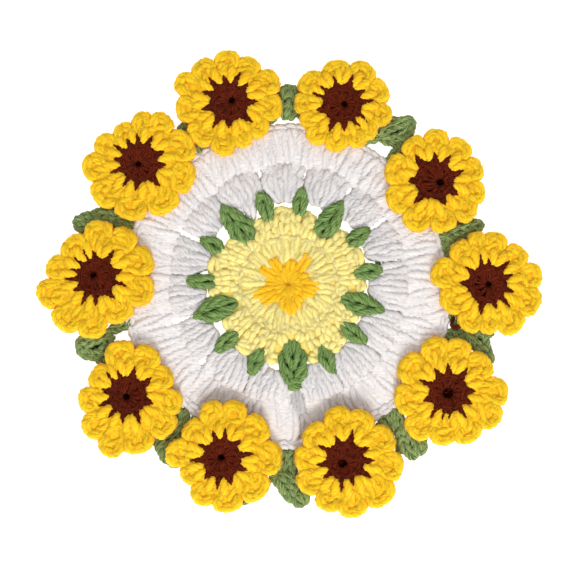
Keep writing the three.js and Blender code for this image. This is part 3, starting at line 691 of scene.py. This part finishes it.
def green_clusters():
    yarn = Yarn(GREEN_YARN, seed=37, wobble=0.13)
    parts = np.linspace(0, 1, 7)
    for turn, inner, outer, width, widest in CLUSTERS:
        large = width > LARGE_WIDTH
        across = spoke(turn + 90, 1)
        bend = yarn.random.uniform(-0.4, 0.4) * np.sin(math.pi * parts)
        heights = spread_along(LARGE_HEIGHTS if large else SMALL_HEIGHTS, parts)
        radii = inner - 0.3 + (outer - inner + 0.3) * parts
        middle = line_of([turn] * len(parts), radii, heights) + across * bend[:, None]
        shape = np.interp(parts, [0, widest * 0.5, widest, 0.8, 1], [0.3, 0.85, 1.0, 0.62, 0.05])
        half = (width / 2 + (-0.2 if large else 0.4)) * shape

        start = yarn.random.uniform(0, 2 * math.pi)
        strands, turns = (3, 1.0) if large else (2, 0.8)
        for side in (-1, 1):
            line = middle + across * (half * side * 0.5)[:, None]
            phase = start if side > 0 else math.pi - start
            tall_stitch(yarn, line, half / 2 * 1.15, 2.2, strands, side * turns, phase, WRAP_SIZES)
        dome = np.array([middle + across * (half * aside)[:, None] - UP * drop for aside, drop in DOME])
        # Painted shade: the dome between the strands takes more of the valleys' colour
        yarn.grid(dome[:, :-1].transpose(1, 0, 2), ply=-0.5)

        if turn in KNOTTED:
            reach_aside = 2.5 if large else 1.6
            for back in (3.6, 1.3) if large else (1.4,):
                band = [spoke(turn, outer - back - 0.6 * abs(a), 4.1 - 0.9 * a * a) + across * a * reach_aside
                        for a in (-1, -0.5, 0, 0.5, 1)]
                yarn.strand(band, 1.15)
        else:
            yarn.strand([spoke(turn, outer - back, h) for back, h in CLUSTER_END], END_SIZES)

    link = Path([spoke(t, CHAIN_REACH + 1.0, 0.7) for t in range(0, 360, 12)], closed=True)
    chain(yarn, link, 5.0, 0.7, lift=0.35, size=0.55)
    return yarn


# The white rounds

# A fan's stitches: parts of the way from the inner end to the braid, and the heights there
FAN_ALONG = np.array([0.0, 0.08, 0.2, 0.35, 0.5, 0.62, 0.75, 0.88, 1.0])
FAN_HEIGHTS = np.array([1.2, 1.9, 2.3, 2.5, 2.55, 2.45, 2.2, 1.85, 1.45])
FAN_SIZES = (0.8, 1.05, 1.15, 1.15, 1.0)

# The outer round's stitches: heights, how much of a sink each height takes, and thickness, and that of the
# strands in FEET
OUTER_HEIGHTS = np.array([1.5, 1.85, 1.95, 1.85, 1.6])
OUTER_SINKING = np.array([0.4, 0.8, 1, 1, 0.8])
OUTER_SIZES = (0.95, 1.05, 1.1, 1.05, 1.0)
FOOT_SIZES = (1.1, 1.0, 0.7)

# The recess: how deep it is, how much lower the stitches beyond it begin, and how near to it these stand
RECESS_DEPTH = 2.6
RECESS_START = 1.5
RECESS_NEAR = 3.2

# The ground's grid, its heights from a fan's foot to the mat's edge, the least height left where it sinks,
# and its fold between two fans
GROUND_COLUMNS = 360
GROUND_ROWS = 22
GROUND_HEIGHTS = (0.9, 2.9, 3.95, 3.65, 2.75, 3.1, 3.1, 1.7)
GROUND_LEAST = 0.8
VALLEY_DEPTH = 2.6

FanSides = namedtuple("FanSides", "inner start start_slit end end_slit")


def fan_sides():
    """For each white fan its inner end, and for both sides its direction and the slit or recess there."""
    found = []
    for i, (turn, inner) in enumerate(FANS):
        before, after = FANS[i - 1].turn, FANS[(i + 1) % len(FANS)].turn
        sides = []
        for a, b in ((before, turn), (turn, after)):
            middle = (a + turn_between(a, b) / 2) % 360
            slit = next((row for row in [*SLITS, RECESS] if away(row.turn, middle) < 5), None)
            sides += [slit.turn if slit else middle, slit]
        found.append(FanSides(inner, *sides))
    return found


def gap_beside(slit, radii):
    """Half the gap at a side of a fan, at some radii."""
    if slit is None:
        return np.full(len(radii), 0.4)
    ends = [slit.inner - 1.2, slit.inner + 0.4, slit.outer - 0.4, slit.outer + 1.2]
    return 0.4 + slit.width / 2 * np.interp(radii, ends, [0, 1, 1, 0])


def fan_posts(yarn, fan):
    """A puffed fan: stitches that spread from its inner end and touch each other."""
    # Painted shade: the fans' stitches are made darker
    yarn.shade = FAN_PAINTED_SHADE
    radii = fan.inner + 0.1 + (WHITE_BRAID + 0.2 - fan.inner) * FAN_ALONG
    share = np.clip((radii - fan.inner) / (FAN_TOUCH - fan.inner), 0, 1) ** (1 / FAN_ROUNDNESS)
    left = fan.start + np.degrees(gap_beside(fan.start_slit, radii) / radii)
    span = turn_between(fan.start, fan.end)
    right = fan.start + span - np.degrees(gap_beside(fan.end_slit, radii) / radii)
    half = (right - left) / 2
    for k in range(FAN_POSTS):
        part = 2 * (k + 0.5) / FAN_POSTS - 1
        turns = (left + right) / 2 + part * half * share
        heights = FAN_HEIGHTS + 1.4 * (0.3 - part * part) + yarn.random.uniform(-0.2, 0.2)
        heights = heights + around(SINKS, turns[-1] % 360) * np.interp(FAN_ALONG, [0.5, 1], [0, 0.4])
        wide = np.radians(half) * share * radii / FAN_POSTS * 1.2
        post(yarn, line_of(turns, radii, heights), wide, 1.95, (0.15, 0.4), FAN_SIZES)


def outer_posts(yarn, fan):
    """The outer round's stitches above a fan, from the braid to the mat's edge."""
    span = turn_between(fan.start, fan.end)
    for k in range(OUTER_POSTS):
        turn = fan.start + span * (k + 0.5) / OUTER_POSTS
        sink = around(SINKS, turn % 360)
        # Painted shade: the deeper a stitch sinks beside the lowest sunflowers, the darker it is made
        yarn.shade = SUNK_PAINTED_SHADE * sink
        beyond_recess = away(RECESS.turn, turn) < RECESS_NEAR
        begin = RECESS.outer if beyond_recess else WHITE_BRAID - 0.6
        turns = turn + yarn.random.uniform(-1.6, 1.6) * np.linspace(-1, 1, 5)
        radii = np.linspace(begin, around(EDGE, turn % 360) - 1.2, 5)
        heights = OUTER_HEIGHTS + yarn.random.uniform(-0.25, 0.25) - sink * OUTER_SINKING
        if beyond_recess:
            heights[0] -= RECESS_START
        wide = math.radians(span) * radii / OUTER_POSTS / 2 * 1.06
        post(yarn, line_of(turns, radii, heights), wide, 1.9, (0.3, 0.6), OUTER_SIZES)


def white_round():
    yarn = Yarn(WHITE_YARN, seed=41, wobble=0.2)
    for fan in fan_sides():
        fan_posts(yarn, fan)
        outer_posts(yarn, fan)
    # Painted shade: three dark strands lie in the recess
    yarn.shade = RECESS_PAINTED_SHADE
    for side in (-2, 0, 2):
        radii = np.linspace(RECESS.inner - 1, RECESS.outer + 2, 4)
        yarn.strand([spoke(RECESS.turn + side, r, 0.9) for r in radii])
    yarn.shade = 0.0
    edge = Path([spoke(t, around(EDGE, t) - 1.7, 1.6) for t in range(0, 360, 6)], closed=True)
    chain(yarn, edge, 4.4, 1.3, lift=0.4, size=0.85)
    for turn, lower_turn, reach in FEET:
        foot = [spoke(turn, CHAIN_REACH + 2, 2.2), spoke(turn, 33, 2.0), spoke(lower_turn, reach, 1.6)]
        yarn.strand(foot, FOOT_SIZES)
    return yarn


def ground_place(turn, r, foot, part):
    """A place on the white ground and its tone, with painted shade on the fans, where the white sinks and in
    the recess. part is how far it is to a fan's side, -1 to 1.
    """
    braid = WHITE_BRAID
    reaches = [foot, foot + 1.2, 40, braid - 2, braid, braid + 2, 61, 66]
    height = np.interp(r, reaches, GROUND_HEIGHTS)
    swell = 1.1 * part * part - 0.1 + VALLEY_DEPTH * part**6
    fold = swell * np.interp(r, [foot, foot + 3, braid - 3, braid], [0, 1, 1, 0])
    sunk = around(SINKS, turn) * np.interp(r, [braid - 1, braid + 3], [0, 1])
    tone_and_shade = np.interp(r, [braid - 2, braid], [FAN_PAINTED_SHADE, 0]) + SUNK_PAINTED_SHADE * sunk
    aside = math.radians(away(RECESS.turn, turn)) * r
    deep = np.interp(aside, [RECESS.width / 2 - 0.5, RECESS.width / 2 + 0.8], [1, 0])
    ends = [RECESS.inner - 1, RECESS.inner + 1, RECESS.outer - 1, RECESS.outer + 1]
    deep *= np.interp(r, ends, [0, 1, 1, 0])
    sunk += RECESS_DEPTH * deep
    tone_and_shade += (RECESS_PAINTED_SHADE - tone_and_shade) * deep
    return spoke(turn, r, max(height - fold - sunk, GROUND_LEAST)), tone_and_shade


def white_ground():
    """The cloth of the white rounds that their stitches stand out from, open at the slits."""
    fans = fan_sides()
    grid = np.empty((GROUND_COLUMNS, GROUND_ROWS, 3))
    shade_tones = np.empty((GROUND_COLUMNS, GROUND_ROWS))
    for turn in range(GROUND_COLUMNS):
        fan = next(f for f in fans if turn_between(f.start, turn) < turn_between(f.start, f.end))
        part = 2 * turn_between(fan.start, turn) / turn_between(fan.start, fan.end) - 1
        foot = fan.inner + (WHITE_VALLEY - fan.inner) * abs(part) ** FAN_ROUNDNESS + 0.6
        for row, r in enumerate(np.linspace(foot, around(EDGE, turn) - 1.6, GROUND_ROWS)):
            grid[turn, row], shade_tones[turn, row] = ground_place(turn, r, foot, part)
    middles = (grid[:, :-1] + np.roll(grid, -1, 0)[:, 1:]) / 2
    reach = np.linalg.norm(middles[..., :2], axis=-1)
    turns = np.degrees(np.arctan2(middles[..., 1], middles[..., 0])) % 360
    skip = np.zeros(reach.shape, bool)
    for slit in SLITS:
        aside = np.abs((turns - slit.turn + 180) % 360 - 180) * np.pi / 180 * reach
        skip |= (aside < slit.width / 2 + 0.6) & (reach > slit.inner) & (reach < slit.outer)
    cloth = Yarn(MAT_YARN, seed=43)
    # The ground's tones paint shade on the fans, where the white sinks and in the recess
    cloth.grid(grid, closed=True, skip=skip, ply=0.4, tone_and_shade=shade_tones.ravel())
    return cloth


# Leaves

# How wide a leaf's rows of stitches are, in how many places its outline is measured along the midrib, how
# near a point of the outline is to count there, the midrib's heights, and the least half width of a leaf
LEAF_ROW = 4.0
MIDRIB_PLACES = 7
MIDRIB_NEAR = 2.2
MIDRIB_HEIGHTS = (1.9, 2.2, 1.9)
LEAST_HALF = 1.3

# The ground under a blade: part of the way from its middle to its rim, height
LEAF_GROUND = ((0, 1.0), (0.5, 1.0), (0.85, 0.8), (1, 0.4))


def inside(outline, inset, z):
    """A closed path inside an outline."""
    places = np.array([(x, y, z) for x, y in outline], float)
    x, y = places[:, 0], places[:, 1]
    clockwise = np.sum(x * np.roll(y, -1) - y * np.roll(x, -1)) < 0
    path = Path(places[::-1] if clockwise else places, closed=True)
    s = np.linspace(0, path.length, 25)[:-1]
    return path.at(s) + path.side(s) * inset


def reaches_beside(midrib, outline, sign):
    """How far a blade reaches to one side of its midrib, in places along it."""
    reaches = []
    for s in np.linspace(0, midrib.length, MIDRIB_PLACES):
        across = midrib.side(s)[:2]
        forward = np.array([across[1], -across[0]])
        offsets = outline - midrib.at(s)[:2]
        near = np.abs(offsets @ forward) < MIDRIB_NEAR
        reaches.append(max([*(sign * (offsets @ across))[near], LEAST_HALF]))
    return np.array(reaches)


def leaf_loop(leaf, seed):
    yarn = Yarn(LEAF_YARN, seed=seed, wobble=0.22)
    # Painted light or shade: a leaf's tone makes all of it lighter or darker
    yarn.shade = leaf.get("tone_and_shade", 0.0)
    for cord in leaf["cords"]:
        chain(yarn, Path([(x, y, 1.35) for x, y in cord]), 3.6, 1.6, lift=0.9)
    chain(yarn, Path(inside(leaf["blade"], yarn.radius + 0.9, 1.4), closed=True), 3.8, 1.1, lift=0.7)

    outline = inside(leaf["blade"], 2.2, 0)[:, :2]
    midrib = Path([(*place, z) for place, z in zip(leaf["midrib"], MIDRIB_HEIGHTS)])
    left = reaches_beside(midrib, outline, 1)
    right = reaches_beside(midrib, outline, -1)
    rows = max(1, round(np.mean(left + right) / LEAF_ROW))
    places = np.linspace(0, midrib.length, MIDRIB_PLACES)
    for k in range(rows):
        part = (2 * (k + 0.5) / rows - 1) * 0.9
        aside = part * (left if part > 0 else right)
        row = Path(midrib.at(places) + midrib.side(places) * aside[:, None] - UP * 0.4 * part * part)
        chain(yarn, row, 3.4, LEAF_ROW / 2 - 0.2, lift=1.4)

    middle = np.array([*np.mean(leaf["blade"], axis=0), 0])
    ground = [[middle + (place - middle) * part + UP * h for part, h in LEAF_GROUND]
              for place in inside(leaf["blade"], 1.2, 0)]
    # Painted shade: the ground between the strands takes the valleys' colour
    yarn.grid(np.array(ground), closed=True, ply=-1.0)
    return yarn


# Sunflowers

# A petal's top above the flower's base, from the eye to its tip: at which reach it is highest, how wide its
# rim is, and the heights
CREST_REACH = 10.4
CREST_TOP = 5.6
RIM_WIDTH = 2.4
CREST_HEIGHTS = (4.2, 5.2, CREST_TOP, 4.6, 5.0, 3.0)

# Places along a petal's rim and along the strand below it, -1 in its right notch and 1 in its left
RIM_PARTS = (-0.97, -0.85, -0.6, -0.3, 0, 0.3, 0.6, 0.85, 0.97)
LOW_PARTS = (-0.9, -0.6, -0.3, 0, 0.3, 0.6, 0.9)

# The stitches inside a petal: how far below its top they lie, and from which reach on one is in its notch
FILLING_DROPS = np.array([0.9, 0.3, 0.15, 0.3])
LONG_PETAL = 19

# The strands at the petals' inner ends, from the eye outwards: reach, more reach beside a spike, room beside
# a spike, how far below the petals' top, thickness, and the reach at which they are counted
TOE_REACHES = np.array([8.2, 9.0, 10.6, 12.8, 15.3])
TOE_BOW = np.array([0.8, 0.6, 0.3, 0.1, 0])
TOE_ROOM = np.array([1.9, 1.7, 1.2, 0.6, 0.2])
TOE_DROPS = np.array([1.7, 0.7, 0.3, 0.6, 1.7])
TOE_SIZES = (1.0, 1.25, 1.35, 1.3, 1.0)
TOE_MIDDLE = 10.3

# The ground below the petals: heights from the eye to the rim
PETAL_GROUND = (2.2, 3.5, 4.6, 4.0, 3.9, 2.7, 0.6)

# The eye's strands: thickness from the hole to a spike's tip, and the reach where the hole's offset is lost
SPIKE_SIZES = (0.5, 0.75, 0.95, 1.0, 0.85, 0.5)
TIP_SIZES = (0.9, 0.75, 0.35)
HOLE_FADE = 7.5


def crest(r, reach):
    """Height of the top of a petal above the flower's base, at a radius."""
    rim = reach - RIM_WIDTH
    return float(np.interp(r, [7.0, 8.6, CREST_REACH, (CREST_REACH + rim) / 2, rim, reach], CREST_HEIGHTS))


class Petals:
    """Where the petals of a sunflower are."""

    def __init__(self, flower):
        self.middle = np.array([*flower["at"], 0.0])
        self.turns = flower["turns"]
        self.reaches = flower["reaches"]

    def beside(self, i, part):
        """The petal to the left of petal i, or to its right if part is below 0, and half the angle to it."""
        other = (i + 1) % len(self.turns) if part > 0 else i - 1
        return other, away(self.turns[i], self.turns[other]) / 2

    def outline(self, i, part):
        """Direction and reach of petal i's outline. part is 1 in its left notch and -1 in its right."""
        other, half = self.beside(i, part)
        notch = min(self.reaches[i], self.reaches[other]) - NOTCH
        return self.turns[i] + part * half, self.reaches[i] - (self.reaches[i] - notch) * abs(part) ** 3

    def reach_towards(self, turn):
        """How far the petals reach in a direction."""
        i = min(range(len(self.turns)), key=lambda n: away(self.turns[n], turn))
        side = (turn - self.turns[i] + 180) % 360 - 180
        _, half = self.beside(i, side)
        return self.outline(i, side / max(half, 1))[1]

    def place(self, turn, r, reach, drop):
        """A strand's place in a petal that reaches this far, so far below its top."""
        return self.middle + spoke(turn, r, FLOWER_BASE + crest(r, reach) - FLOWER_YARN - drop)


def petal(yarn, petals, i):
    """A petal: the chain of its rim, a strand below it, the stitches inside and one in the left notch."""
    reach = petals.reaches[i]
    tilt = yarn.random.uniform(-0.3, 0.3)
    rim = []
    for part in RIM_PARTS:
        turn, r = petals.outline(i, part)
        inset = 1.45 + (1.6 if abs(part) > 0.9 else 0)
        inward = math.degrees(1.9 * part**5 / r)
        rim.append(petals.place(turn - inward, r - inset, reach, 0.9 * part**4 + tilt * part))
    chain(yarn, Path(rim), 5.4, 0.9, lift=0.7, size=1.08)

    low = []
    for part in LOW_PARTS:
        turn, r = petals.outline(i, part)
        inward = math.degrees(1.2 * part**5 / r)
        low.append(petals.place(turn - inward, r - 0.65, reach, 2.1 + 0.3 * part**4))
    yarn.strand(low, 1.1)

    left, notch_reach = petals.outline(i, 1.0)
    right, _ = petals.outline(i, -1.0)
    count = 2 if math.radians(left - right) * 14 > 8 else 1
    for k in range(count):
        turn, r = petals.outline(i, 2 * (k + 0.5) / count - 1)
        radii = np.linspace(11.8, r - 3.4, 4)
        drops = FILLING_DROPS + yarn.random.uniform(-0.2, 0.2)
        turns = turn + yarn.random.uniform(-2, 2) * np.linspace(-1, 1, 4)
        line = [petals.place(*row) for row in zip(turns, radii, [reach] * 4, drops)]
        wide = math.radians(left - right) / count / 2 * radii * 1.2
        tall_stitch(yarn, line, wide, 1.7, strands=2, turns=yarn.random.uniform(0.4, 0.9))
    if reach > LONG_PETAL:
        places = ((11.5, 0.7), (13.0, 0.7), (notch_reach - 2.2, 1.3))
        yarn.strand([petals.place(left, r, notch_reach, drop) for r, drop in places])


def petal_toes(yarn, petals, spikes):
    """The strands at the petals' inner ends, between the eye's spikes."""
    for i, spike in enumerate(spikes):
        gap = turn_between(spike, spikes[(i + 1) % len(spikes)])
        count = max(1, round(math.radians(gap) * TOE_MIDDLE / TOE_PITCH))
        for k in range(count):
            part = 2 * (k + 0.5) / count - 1
            radii = TOE_REACHES + TOE_BOW * part * part
            turns = spike + gap / 2 + np.maximum(gap / 2 - np.degrees(TOE_ROOM / radii), 1.0) * part
            drops = TOE_DROPS + yarn.random.uniform(-0.25, 0.25)
            heights = FLOWER_BASE + CREST_TOP - FLOWER_YARN - drops
            yarn.strand(petals.middle + line_of(turns, radii, heights), TOE_SIZES)


def sunflower_petals(flower, seed):
    yarn = Yarn(FLOWER_YARN, seed=seed, wobble=0.13, painted_side_shade=PAINTED_SIDE_SHADE)
    petals = Petals(flower)
    for i in range(len(petals.turns)):
        petal(yarn, petals, i)
    petal_toes(yarn, petals, flower["spikes"])
    if "thread" in flower:
        yarn.strand(flower["thread"], THREAD_SIZE)
    ground = []
    for turn in range(0, 360, 6):
        reach = petals.reach_towards(turn)
        radii = (6.5, 8.5, 11.0, 14.0, reach - 3.0, reach - 2.0, reach - 1.8)
        ground.append([petals.middle + spoke(turn, r, FLOWER_BASE + h) for r, h in zip(radii, PETAL_GROUND)])
    yarn.grid(np.array(ground), closed=True, ply=0.2)
    return yarn


def sunflower_eye(flower, index):
    yarn = Yarn(EYE_YARN, seed=300 + index)
    yarn.shade = flower.get("eye_tone", 0.0)
    middle = np.array([*flower["at"], 0.0])
    hole = np.array([*flower["hole"], 0.0])
    well, spikes = flower["well"], flower["spikes"]

    def place(turn, r, height):
        """A place whose centre moves from the dark hole to the flower's middle on the way out."""
        return middle + hole * max(0.0, 1 - r / HOLE_FADE) + spoke(turn, r, FLOWER_BASE + height)

    for i, turn in enumerate(spikes):
        left = turn_between(turn, spikes[(i + 1) % len(spikes)]) / 2
        right = turn_between(spikes[i - 1], turn) / 2
        reach = SPIKE_REACH + SPIKE_SPREAD * math.sin(3.7 * i + 1.3 * index)
        # Share of the half angle to the next spike, reach, height
        flank = ((0.5, well, 1.2), (0.5, well + 0.8, 2.7), (0.55, 4.8, 2.95), (0.5, 6.8, 3.2),
                 (0.3, 8.6, 3.7), (0.08, reach - 1.2, 4.3))
        between = ((0.95, 4.2, 2.8), (0.95, 6.0, 3.0), (0.95, 7.3, 2.6))
        for side, half in ((1, left), (-1, right)):
            for rows, size in ((flank, SPIKE_SIZES), (between, 0.95)):
                yarn.strand([place(turn + side * half * share, r, h) for share, r, h in rows], size)
        yarn.strand([place(turn, r, h) for r, h in ((7.0, 3.6), (9.2, 4.2), (reach - 0.2, 4.6))], TIP_SIZES)
    ring = Path([place(turn, 6.4, 3.2) for turn in range(0, 360, 30)], closed=True)
    chain(yarn, ring, 3.6, 0.8, lift=0.6, size=0.8)
    profile = ((0.0, 0.3), (well, 0.4), (well + 1.4, 1.9), (5.0, 2.4), (8.6, 2.6))
    disc = [[place(turn, r, h) for r, h in profile] for turn in range(0, 360, 20)]
    # Painted shade: the disc takes the valleys' near-black colour, dark in the hole and between the strands
    yarn.grid(np.array(disc), closed=True, ply=-1.2)
    if "loop" in flower:
        yarn.strand(flower["loop"], LOOP_SIZE)
    return yarn


# Materials

# How much the painted ply shade adds on the way from the valleys' colour, which is painted shade, to the
# ridges', how much lighter a tone and a patch make the yarn, and how light it is without them
PLY_SHARE = 0.35
TONE_STEP = 0.035
PATCH_SHARE = 0.14
PLAIN_VALUE = 0.93

# Noise: fibres along and across the yarn, and soft patches
FIBRE_STRETCH = (4.0, 15.0, 1.0)
PATCH_SCALE = 160.0


def linear(colour):
    """A colour as it shows, 0 to 255, as the shader's linear one."""
    return [c / 255 / 12.92 if c < 11 else ((c / 255 + 0.055) / 1.055) ** 2.4 for c in colour]


def yarn_material(name, ridge, valley, sheen=0.2, gloss=0.2, contrast=2.6, scatter=0.0):
    """Matt plied yarn: painted shade between the plies and on sides that face down, lighter and darker
    strands, and fine fibres along them.
    """
    material = bpy.data.materials.new(name)
    material.use_nodes = True
    nodes, links = material.node_tree.nodes, material.node_tree.links

    def fill(node, inputs):
        """Set a node's inputs to numbers, or link them to other nodes' outputs."""
        for key, value in inputs.items():
            if isinstance(value, bpy.types.NodeSocket):
                links.new(value, node.inputs[key])
            else:
                node.inputs[key].default_value = value

    def made(kind, output, inputs, **settings):
        node = nodes.new(f"ShaderNode{kind}")
        for key, value in settings.items():
            setattr(node, key, value)
        fill(node, inputs)
        return node.outputs[output]

    def multiplied(source, factor, added):
        return made("Math", "Value", {0: source, 1: factor, 2: added}, operation="MULTIPLY_ADD")

    uv = made("UVMap", "UV", {}, uv_map="yarn")
    stretched = made("Mapping", "Vector", {"Vector": uv, "Scale": FIBRE_STRETCH})
    fibres = made("TexNoise", "Fac", {"Vector": stretched, "Scale": 1.0, "Detail": 3.0})
    place = made("TexCoord", "Object", {})
    patches = made("TexNoise", "Fac", {"Vector": place, "Scale": PATCH_SCALE, "Detail": 2.0})
    ply = made("Attribute", "Fac", {}, attribute_name="ply")
    tone_and_shade = made("Attribute", "Fac", {}, attribute_name="tone_and_shade")

    fleck = multiplied(fibres, contrast, 0.5 - contrast / 2)
    depth = multiplied(ply, PLY_SHARE, fleck)
    ends = {"Factor": depth, "A": (*linear(valley), 1), "B": (*linear(ridge), 1)}
    mixed = made("Mix", "Result", ends, data_type="RGBA")
    value = multiplied(patches, PATCH_SHARE, multiplied(tone_and_shade, TONE_STEP, PLAIN_VALUE))
    fill(nodes["Principled BSDF"], {
        "Base Color": made("HueSaturation", "Color", {"Color": mixed, "Value": value}),
        "Normal": made("Bump", "Normal", {"Height": fibres, "Strength": 0.8, "Distance": 0.0005}),
        "Roughness": 0.85, "Sheen Weight": sheen, "Sheen Roughness": 0.5, "Specular IOR Level": gloss,
        "Subsurface Weight": scatter, "Subsurface Radius": (1.0, 0.9, 0.8), "Subsurface Scale": 0.002,
    })
    return material


# Colours of the ridges and of the valleys between the plies; the valleys' darker colour is painted shade
WHITE = yarn_material("white_yarn", (238, 233, 231), (212, 206, 204), scatter=0.3)
PALE = yarn_material(
    "pale_yarn", (254, 240, 160), (248, 208, 86), sheen=0.08, gloss=0.1, contrast=2.0, scatter=0.45)
GOLDEN = yarn_material("golden_yarn", (254, 206, 34), (246, 160, 6), sheen=0.1, scatter=0.25)
GREEN = yarn_material("green_yarn", (136, 168, 94), (28, 52, 14), sheen=0.05, contrast=3.0)
LEAF = yarn_material("leaf_yarn", (148, 170, 104), (26, 42, 4), sheen=0.05, contrast=3.0)
PETAL = yarn_material(
    "sunflower_yarn", (255, 212, 40), (249, 156, 2), sheen=0.08, gloss=0.1, contrast=1.7, scatter=0.4)
BROWN = yarn_material("brown_yarn", (108, 38, 18), (13, 3, 1), sheen=0.0, gloss=0.05, contrast=4.2)


# Assembly

pieces = [
    golden_rosette().piece("golden_rosette_yarn", "golden_rosette", "golden_yarn", GOLDEN),
    pale_round().piece("pale_petal_yarn", "pale_petal_round", "pale_yarn", PALE),
    green_clusters().piece("green_cluster_yarn", "green_cluster_round", "green_yarn", GREEN),
    white_round().piece("white_round_yarn", "white_round", "white_yarn", WHITE),
]
for number, leaf in enumerate(LEAVES, 1):
    pieces.append(leaf_loop(leaf, 60 + number).piece(
        f"leaf_loop_{number}_yarn", f"leaf_loop_{number}", "leaf_yarn", LEAF))
for number, flower in enumerate(SUNFLOWERS, 1):
    pieces.append(sunflower_petals(flower, 99 + number).piece(
        f"sunflower_{number}_petal_yarn", f"sunflower_{number}_petals", "sunflower_yarn", PETAL))
    pieces.append(sunflower_eye(flower, number - 1).piece(
        f"sunflower_{number}_eye_yarn", f"sunflower_{number}_eye", "brown_yarn", BROWN))

# The ground cloth's thickness, in metres
GROUND_THICKNESS = 0.0006
ground = white_ground().piece("white_ground", None, "white_yarn", WHITE)
solid = ground.modifiers.new("thickness", "SOLIDIFY")
solid.thickness = GROUND_THICKNESS

# Floor, light and camera, in metres

floor_mesh = bpy.data.meshes.new("floor")
floor_mesh.from_pydata([(-3, -3, 0), (3, -3, 0), (3, 3, 0), (-3, 3, 0)], [], [(0, 1, 2, 3)])
floor = add("floor", floor_mesh)
floor_material = bpy.data.materials.new("floor")
floor_material.use_nodes = True
floor_shader = floor_material.node_tree.nodes["Principled BSDF"]
for key, value in (("Base Color", (0.8, 0.8, 0.8, 1)), ("Emission Color", (1, 1, 1, 1)),
                   ("Emission Strength", 0.8), ("Roughness", 0.9)):
    floor_shader.inputs[key].default_value = value
floor_mesh.materials.append(floor_material)

lamp_data = bpy.data.lights.new("key", "AREA")
lamp_data.size = 0.5
lamp_data.energy = 13.2
lamp = add("key", lamp_data)
lamp.location = (0.12, -1.04, 1.0)
lamp.rotation_euler = (-lamp.location).to_track_quat("-Z", "Y").to_euler()

world = bpy.data.worlds.new("studio")
world.use_nodes = True
background = world.node_tree.nodes["Background"]
background.inputs["Color"].default_value = (1, 1, 1, 1)
background.inputs["Strength"].default_value = 0.86
bpy.context.scene.world = world
bpy.context.scene.view_settings.view_transform = "Standard"

# The camera looks straight down. PIXEL_MM is the size of the photo's pixels at FOCUS_HEIGHT, and MIDDLE the
# pixel that shows the mat's middle
CAMERA_HEIGHT = 0.9
FOCUS_HEIGHT = 0.005
SENSOR_MM = 36
PIXEL_MM = 0.4
IMAGE_SIDE = 573
MIDDLE_X, MIDDLE_Y = 288.5, 283.8
camera_data = bpy.data.cameras.new("camera")
camera_data.sensor_fit = "HORIZONTAL"
camera_data.sensor_width = SENSOR_MM
camera_data.lens = SENSOR_MM * (CAMERA_HEIGHT - FOCUS_HEIGHT) / (IMAGE_SIDE * PIXEL_MM * MM)
camera = add("camera", camera_data)
camera_x = (IMAGE_SIDE / 2 - MIDDLE_X) * PIXEL_MM * MM
camera_y = (MIDDLE_Y - IMAGE_SIDE / 2) * PIXEL_MM * MM
camera.location = (camera_x, camera_y, CAMERA_HEIGHT)
bpy.context.scene.camera = camera
